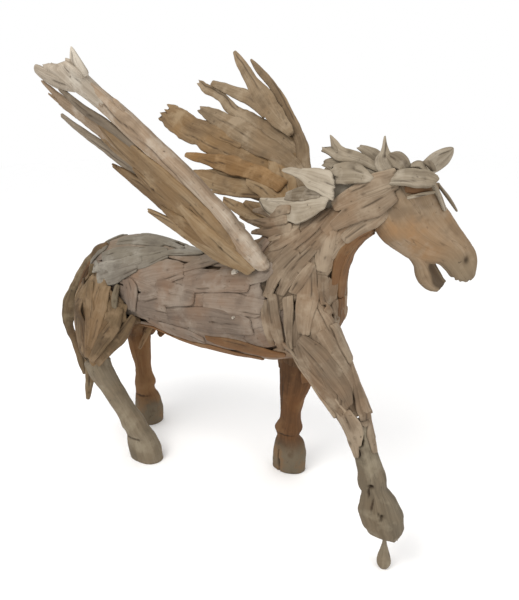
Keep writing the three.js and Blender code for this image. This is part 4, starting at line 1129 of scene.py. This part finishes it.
def buildWings():
    # logs lead the wings, and the feathers fan back from them
    log = feather(nearLog["path"], nearLog["half"], 301, thick=nearLog["thick"], square=2.5, crackCount=4,
                  knots=3,
                  crackDeep=6, dent=3.5, bow=0, wander=0.14)
    top = [feather(path, half, 302 + k, thick=thick, square=2.4, knots=0, bow=0, tip=tip)
           for k, (path, half, thick, tip) in enumerate(logTop)]
    add("worn_near_wing_log", [log, top[-1]], wood["wing"], "wing_driftwood", "near_wing_log")
    add("worn_near_wing_log_end", top[:-1], wood["palm"], "wing_driftwood")
    for k, (name, (path, half, tip, finish)) in enumerate(nearFeathers.items()):
        add("worn_" + name, [rootFirst(path, half, 310 + k, tip)], wood[finish], "wing_driftwood", name)
    add("near_wing_small_feathers", [rootFirst(p, h, 320 + k, t) for k, (p, h, t) in enumerate(nearFill)],
        wood["warmWing"], "wing_driftwood")
    leader = feather(farLeader["path"], farLeader["half"], 331, True, farLeader["thick"])
    add("worn_far_wing_leader", [leader], wood["farWing"], "wing_driftwood", "far_wing_leader")
    fork = feather(farFork["path"], farFork["half"], 332, True, farFork["thick"], knots=3)
    branch = feather(farBranch["path"], farBranch["half"], 333, True, farBranch["thick"], knots=0)
    add("worn_far_wing_forked_board", [fork, branch], wood["farWing"], "wing_driftwood",
        "far_wing_forked_board")
    for k, (name, (path, half, tip, finish)) in enumerate(farFeathers.items()):
        add("worn_" + name, [rootFirst(path, half, 340 + k, tip, True)], wood[finish], "wing_driftwood",
            name)
    add("far_wing_small_feathers", [rootFirst(p, h, 350 + k, t, True) for k,
                                    (p, h, t) in enumerate(farFill)],
        wood["warmWing"], "wing_driftwood")


buildWings()
print("wings made")


headHinge = np.array([833.7, 79.7, 1428])   # where the head turns on the neck, mm
headTurn = math.radians(15)
# face s, face z, jaw s, jaw z, half width, in mm forward of and above the hinge
skullRows = [[-10, 36, -56, -70, 46], [38, 42, -98, -128, 64], [72, 8, -112, -172, 72],
             [99, -24, -103, -198, 75],
             [114, -58, -74, -234, 74], [127, -92, -26, -268, 69], [150, -126, 22, -298, 61],
             [169, -154, 60, -314, 54],
             [190, -182, 92, -312, 47], [210, -209, 122, -311, 43], [231, -240, 144, -330, 41],
             [247, -270, 166, -354, 41], [254, -306, 192, -374, 38], [252, -344, 226, -376, 26]]
jawRows = [[78, -258, 10, -284, 44], [116, -308, 34, -318, 38], [136, -338, 44, -354, 35],
           [150, -362, 62, -390, 33],
           [160, -376, 92, -414, 29], [156, -390, 124, -418, 18]]
# swellings and hollows: forward, side, up, then their reach along each, then height
headForms = [
    (66, 64, -112, 38, 24, 14, 11),     # brow over the eye
    (41, 70, -122, 12, 26, 7, -6),      # crease under the brow, in four overlapping lengths
    (57, 68, -136, 12, 26, 7, -7),
    (76, 64, -147, 13, 26, 7, -7),
    (98, 56, -151, 14, 26, 7, -6),
    (74, 70, -160, 24, 24, 9, 5),       # eyelid under the crease
    (-22, 74, -190, 62, 40, 62, 7),     # round cheek
    (112, 62, -176, 34, 26, 20, -4),    # hollow under the eye
    (138, 52, -214, 60, 26, 16, 4),     # cheek bone toward the nose
    (96, 64, -262, 40, 30, 30, -6),     # hollow before the cheek
    (222, 38, -262, 30, 24, 26, 5),     # flare over the nostril
    (219, 42, -286, 14, 26, 23, -20),   # nostril
    (-60, 76, -200, 22, 30, 40, -6),    # hollow behind the cheek's raised edge
    (-84, 76, -192, 13, 30, 46, 7),     # raised edge of the cheek
    (196, 34, -352, 30, 24, 12, 4),     # upper lip
]
# chips out of the lip's edge
headForms += [(s, 24, z, 6, 28, 7, -9) for s, z in ((178, -362), (194, -372), (210, -376), (229, -368))]
# a form with a negative side place is cut on the near side only
jawForms = [(108, -30, -318, 24, 34, 26, -12), (126, -26, -350, 28, 34, 28, -14),
            (130, -24, -384, 30, 32, 26, -13),
            (152, -18, -392, 20, 30, 20, -9), (60, 44, -352, 60, 20, 16, 3)]


def headPoints(local):
    # head space (forward, side, up) in mm to points in metres
    s, side, z = local[..., 0], local[..., 1], local[..., 2]
    c, n = math.cos(headTurn), math.sin(headTurn)
    return (np.stack([s * c - side * n, s * n + side * c, z], -1) + headHinge) * mm


headWear = {  # lengths of the marks on the carved head, in mm
    "dent": 40, "dentSide": 60, "grainLong": 60, "grainWide": 6, "crackBend": 90, "crackWide": 2.2, "rot": 45}


def headTube(rows, seed, stations, sides, forms, tone=0.0):
    # Loft through the profile rows: each section is a rounded outline, narrower toward the face.
    # Forms push it out or in along its normal by a bell of their height and reach on both sides.
    rng = np.random.default_rng(seed)
    t = np.linspace(0, 1, stations)
    faceS, faceZ, jawS, jawZ, width = spline(rows, t).T
    turn = np.linspace(0, 2 * math.pi, sides, endpoint=False)[None, :]
    c = np.sign(np.cos(turn)) * np.abs(np.cos(turn)) ** (2 / 2.25)
    n = np.sign(np.sin(turn)) * np.abs(np.sin(turn)) ** (2 / 2.25)
    narrow = 1 - 0.22 * np.maximum(c, 0)
    local = np.stack([((faceS + jawS) / 2)[:, None] + c * ((faceS - jawS) / 2)[:, None],
                      n * width[:, None] * narrow,
                      ((faceZ + jawZ) / 2)[:, None] + c * ((faceZ - jawZ) / 2)[:, None]], -1)
    normal = unit(np.cross(np.gradient(local, axis=0), np.roll(local, -1, 1) - np.roll(local, 1, 1)))
    middle = local.mean(1, keepdims=True)
    normal *= np.where((normal * (local - middle)).sum(-1).mean() < 0, -1, 1)
    forward, aside, upward = local[..., 0], local[..., 1], local[..., 2]
    dents = rough(forward / headWear["dent"] + aside / headWear["dentSide"], upward / headWear["dent"], seed)
    lift = 1.4 * dents
    grain = rough(upward / headWear["grainLong"], (forward + aside) / headWear["grainWide"], seed + 3, 2)
    lift = lift + 0.35 * grain
    hollow = 0 * lift
    for fs, fy, fz, rs, ry, rz, height in forms:
        for side in ((-1, 1) if fy >= 0 else (1,)):
            gap = ((local - [fs, side * fy, fz]) / [rs, ry, rz]) ** 2
            bell = np.exp(-gap.sum(-1))
            lift = lift + height * bell
            # a hollow deeper than 5 mm is also darkened, as painted shade in the creases, the nostrils and
            # the jaw's hollow
            if height < -5:
                hollow = hollow + bell * min(1, -height / 12)
    dark = 0.75 * smooth(hollow, 0.4, 1.0)
    length = np.linalg.norm(np.diff(middle[:, 0], axis=0), axis=1).sum()
    s = t[:, None] * length + 0 * turn
    radius = np.linalg.norm(local - middle, axis=-1)
    for k in range(3):
        start, run = rng.uniform(-0.1, 0.7) * length, rng.uniform(0.15, 0.35) * length
        course = rng.uniform(0, 2 * math.pi) + 0.15 * noise(s / headWear["crackBend"], 0 * s + k, seed + 9)
        gap = (turn - course + math.pi) % (2 * math.pi) - math.pi
        reach = smooth(s, start, start + 0.3 * run) * (1 - smooth(s, start + 0.7 * run, start + run))
        split = np.exp(-(gap * radius / headWear["crackWide"]) ** 2) * reach
        lift, dark = lift - 2 * split, np.maximum(dark, 0.45 * split)
    local = local + normal * lift[..., None]
    ends = [[middle[k] + (local[k] - middle[k]) * f for f in (0.5, 0.8)] for k in (0, -1)]
    local = np.concatenate([ends[0], local, ends[1][::-1]])
    dark = np.concatenate([dark[:1], dark[:1], dark, dark[-1:], dark[-1:]])
    along = np.concatenate([[0, 0], s[:, 0], [length, length]]) * mm
    around = np.tile(np.append(turn[0], 2 * math.pi) * 60 * mm, (len(local), 1))
    # the cheek stays warm in patches, and the muzzle has gone grey
    forward, upward = local[..., 0], local[..., 2]
    cheek = smooth(-np.abs(upward + 215), -110, -30) * smooth(-forward, -140, -70)
    muzzle = smooth(-upward, 235, 320) * smooth(forward, 110, 170)
    patches = 0.6 + 0.4 * rough(forward / headWear["rot"], upward / headWear["rot"], seed + 5)
    hue = 0.75 * cheek * patches - 0.55 * muzzle
    return {"points": headPoints(local), "along": along, "around": around, "crackAndShade": dark, "tone": tone,
            "hue": hue}


def headBoard(path, half, thick, face, seed, **finish):
    # stick or board with its path and face given in head space
    spots = headPoints(np.array(path, float))
    faces = headPoints(np.array([face], float))[0] - headPoints(np.zeros((1, 3)))[0]
    guide, up = freeGuide(spots, half, faces, finish.pop("bow", 0.1))
    return board(guide, up, half, thick, seed, **finish)


def buildHead():
    # skull and jaw are lofts carved by their forms; ears and forelock are boards set on them
    skull = headTube(skullRows, 401, 170, 112, headForms)
    jaw = headTube(jawRows, 402, 80, 72, jawForms)
    add("carved_head", [skull, jaw], wood["head"], "carved_head_wood", "head")
    nearEar = headBoard([[-50, -54, -6], [10, -74, -2], [60, -84, -6], [98, -86, -12]], [36, 36, 35, 22],
                        [12, 17, 17, 11],
                        (0.1, -0.62, 0.78), 411, crackCount=1, square=5, slant=(0, -0.4), wander=0.14,
                        blunt=0.8)
    earInside = headBoard([[-6, -78, -30], [40, -88, -32], [82, -88, -32]], [16, 20, 14], [12, 12, 9],
                          (0.1, -0.9, -0.3), 413, crackCount=0, knots=0)
    straw = headBoard([[4, -92, -66], [54, -102, -52], [96, -102, -44]], [5, 6, 4], [5, 6, 4], (0, -1, 0.2),
                      414, knots=0)
    farEar = headBoard([[52, 38, 6], [90, 50, 38], [126, 58, 68], [148, 60, 90]], [26, 41, 31, 6],
                       [14, 14, 11, 5],
                       (0.5, -0.8, -0.3), 412, bow=-0.3, crackCount=1, knots=0, blunt=0.2)
    add("worn_near_ear", [nearEar, straw], wood["pale"], "bleached_offcut", "near_ear")
    add("near_ear_inside", [earInside], wood["warm"], "bleached_offcut")
    add("worn_far_ear", [farEar], wood["pale"], "bleached_offcut", "far_ear")
    sticks = [([[74, -22, -16], [104, -26, -62], [130, -24, -118]], [15, 23, 17], [9, 9, 7]),
              ([[100, 18, -26], [136, 20, -74], [174, 22, -126]], [10, 11, 6], [7, 6, 4])]
    for k, (path, half, thick) in enumerate(sticks):
        add(f"worn_forelock_stick_{k + 1}", [headBoard(path, half, thick, (0.8, 0, 0.6), 420 + k, knots=0,
                                                       square=2.4)],
            wood["pale"], "bleached_offcut", f"forelock_stick_{k + 1}")


buildHead()
print("head carved")


# offcuts of the mane from root to tip: way in mm, half widths, half thicknesses, broken tip
maneOffcuts = {
    "mane_offcut_1": ([(792, 42, 1436), (762, 44, 1482), (758, 47, 1520), (755, 50, 1566)], [32, 36, 13, 3],
                      [12, 12, 9, 4],
                      [0, 0]),
    "mane_offcut_2": ([(775, 36, 1440), (680, 38, 1482), (600, 40, 1506), (562, 42, 1528)],
                      [11, 17, 28, 30],
                      [10, 11, 10, 5], [34, 28, -14, -24, 4, 24, 40]),
    "mane_offcut_3": ([(770, 76, 1440), (706, 76, 1500), (648, 74, 1532)], [26, 22, 9], [10, 10, 5],
                      [6, -8, 4]),
    "mane_offcut_4": ([(738, -8, 1420), (690, -6, 1434), (640, -4, 1440), (585, 0, 1432)], [9, 30, 40, 34],
                      [9, 11, 10, 6],
                      [16, -18, 12, -8]),
    "mane_offcut_5": ([(606, -34, 1390), (520, -28, 1414), (449, -20, 1438), (377, -16, 1450)],
                      [50, 40, 24, 4],
                      [10, 11, 9, 4], [0, 0]),
    "mane_offcut_6": ([(590, -66, 1336), (457, -44, 1308), (347, -30, 1310), (279, -22, 1334)],
                      [18, 52, 38, 5],
                      [9, 11, 9, 4], [0, 0]),
}
# smaller ones, each with its face direction
maneExtras = [
    ([(640, 40, 1450), (584, 40, 1467), (523, 40, 1472)], [34, 34, 10], (0.2, -0.9, 0.3), [10, -8, 6]),
    ([(838, 50, 1450), (805, 46, 1482), (768, 42, 1504)], [20, 26, 9], (0.3, -0.8, 0.4), [4, -8]),
    ([(908, 44, 1442), (884, 42, 1470), (856, 40, 1468)], [8, 12, 7], (0.3, -0.8, 0.4), [0, 0]),
    ([(928, 60, 1446), (912, 56, 1468), (888, 52, 1476)], [7, 10, 6], (0.3, -0.8, 0.4), [0, 0]),
    ([(560, -50, 1366), (480, -36, 1366), (398, -26, 1356)], [20, 26, 16], (0.2, -0.85, 0.4), [4, -6]),
    ([(800, 92, 1430), (770, 110, 1470), (738, 116, 1512)], [24, 22, 6], (0.2, 0.9, 0.3), [0, 6]),
    ([(740, 90, 1400), (690, 110, 1440), (612, 116, 1480)], [30, 34, 10], (0.2, 0.9, 0.3), [8, -8]),
    ([(670, 92, 1380), (590, 104, 1416), (494, 110, 1446)], [30, 38, 10], (0.2, 0.9, 0.3), [-6, 8]),
    ([(600, 96, 1350), (520, 110, 1376), (410, 114, 1408)], [30, 40, 12], (0.2, 0.9, 0.3), [6, -8]),
    ([(520, 110, 1310), (440, 120, 1330), (330, 116, 1352)], [30, 38, 12], (0.2, 0.9, 0.3), [0, 8]),
    # the boards on edge along the crest that the offcuts are fixed to
    ([(400, 20, 1266), (520, 14, 1330), (640, 22, 1390), (740, 36, 1424), (806, 40, 1444)],
     [30, 46, 52, 44, 26],
     (0.25, -0.9, 0.35), [0, 0]),
    ([(420, 60, 1290), (540, 66, 1350), (660, 76, 1402), (760, 84, 1432)], [30, 50, 52, 34],
     (0.1, 0.9, 0.3), [0, 0]),
]
rootSticks = [  # sticks left showing behind the root of the near wing, darker than the mane
    ([(440, -60, 1312), (340, -34, 1296), (236, -10, 1290)], [20, 24, 7]),
    ([(430, -66, 1276), (330, -44, 1252), (222, -30, 1246)], [18, 21, 6]),
    ([(450, -70, 1246), (350, -56, 1218), (246, -44, 1206)], [20, 23, 7]),
    ([(440, -74, 1212), (350, -60, 1184), (262, -52, 1170)], [20, 25, 9]),
    ([(430, -76, 1176), (350, -66, 1150), (280, -60, 1132)], [20, 24, 9]),
]
tailStrands = {
    "tail_strand_1": ([(-690, 10, 1044), (-770, 10, 1000), (-850, 10, 930), (-919, 10, 844),
                       (-965, 10, 776),
                       (-1003, 10, 707), (-1047, 10, 616), (-1039, 10, 545), (-1008, 10, 478),
                       (-982, 10, 403),
                       (-965, 10, 326), (-968, 10, 288)],
                      [22, 24, 24, 26, 34, 44, 33, 25, 21, 22, 18, 10], [18, 24, 26, 24, 20, 18, 8],
                      "tail"),
    "tail_strand_2": ([(-695, 54, 1020), (-785, 44, 890), (-855, 30, 737), (-885, 14, 588), (-896, 10, 451),
                       (-915, 10, 350)], [20, 38, 44, 36, 24, 12], [18, 26, 30, 28, 22, 10], "tail"),
    "tail_strand_3": ([(-655, -50, 1030), (-718, -62, 960), (-787, -62, 857), (-813, -62, 777),
                       (-814, -62, 676),
                       (-801, -62, 600), (-793, -62, 528)],
                      [16, 20, 22, 24, 23, 19, 9], [14, 22, 24, 20, 10], "warm"),
    "tail_strand_4": ([(-901, 10, 440), (-911, 10, 344), (-936, 10, 232), (-967, 10, 124)],
                      [22, 29, 24, 12], [10, 14, 12, 5], "tail"),
}
tailExtras = [
    ([(-640, -110, 1000), (-662, -110, 900), (-700, -110, 790), (-722, -110, 660), (-740, -110, 550)],
     [14, 22, 26, 24, 10], [9, 12, 12, 6]),
    ([(-640, -60, 1060), (-712, -62, 985), (-760, -60, 900)], [18, 26, 10], [9, 12, 6]),
    ([(-680, 100, 1010), (-740, 110, 900), (-790, 100, 760)], [16, 30, 12], [10, 16, 8]),
    ([(-560, -70, 1098), (-640, -72, 1052), (-712, -60, 968)], [14, 24, 12], [9, 12, 7]),
]


tornEnds = {"square": 6, "wander": 0.2, "jag": 0.35, "dent": 2.5}   # how the mane's offcuts are broken
maneTones = (0.6, 0.5, 0, 0.6, 1.3, 1.1)


def buildManeAndTail():
    # torn offcuts stand along the crest, and bent strands hang from the rump
    for k, (name, (path, half, thick, tip)) in enumerate(maneOffcuts.items()):
        offcut = free(path, half, thick, (0.2, -0.85, 0.4), 500 + k, 0.12, blunt=0.8, tip=tip,
                      slant=(0.5 * (-1) ** k, 0.2), tone=maneTones[k], **tornEnds)
        add("worn_" + name, [offcut], wood["pale"], "bleached_offcut", name)
    extras = [free(path, half, [9, 11, 6], face, 520 + k, 0.1, blunt=0.9, tip=tip,
                   slant=(0.5 * (-1) ** k, -0.3 * (-1) ** k), **tornEnds)
              for k, (path, half, face, tip) in enumerate(maneExtras)]
    add("mane_small_offcuts", extras, wood["pale"], "bleached_offcut")
    # every other stick at the wing's root leans over and is darker
    sticks = [free(path, half, [8, 10, 4], (0.2, -0.85, 0.4 - 0.12 * (k % 2)), 570 + k, 0.08, square=4,
                   wander=0.15, jag=0.3, tone=-0.6 * (k % 2)) for k, (path, half) in enumerate(rootSticks)]
    add("wing_root_sticks", sticks, wood["shoulder"], "bleached_offcut")
    face = (0.62, -0.74, 0.25)
    for k, (name, (path, half, thick, finish)) in enumerate(tailStrands.items()):
        strand = free(path, half, thick, face, 540 + k, count=15, square=2.3, knots=1, crackCount=3,
                      jag=0.3,
                      wander=0.12)
        add("worn_" + name, [strand], wood[finish], "tail_driftwood", name)
    strands = [free(path, half, thick, face, 550 + k, square=2.6)
               for k, (path, half, thick) in enumerate(tailExtras)]
    add("tail_small_strands", strands, wood["tail"], "tail_driftwood")
    peg = carved(carvedRings("support_peg", (0, 0, 1), 12, 40, 2), 560, dent=0.5, crackCount=1,
                 crackDeep=1.5,
                 step=4)
    add("turned_support_peg", [peg], wood["hoof"], "carved_leg_wood", "support_peg")


buildManeAndTail()
print("mane and tail made")
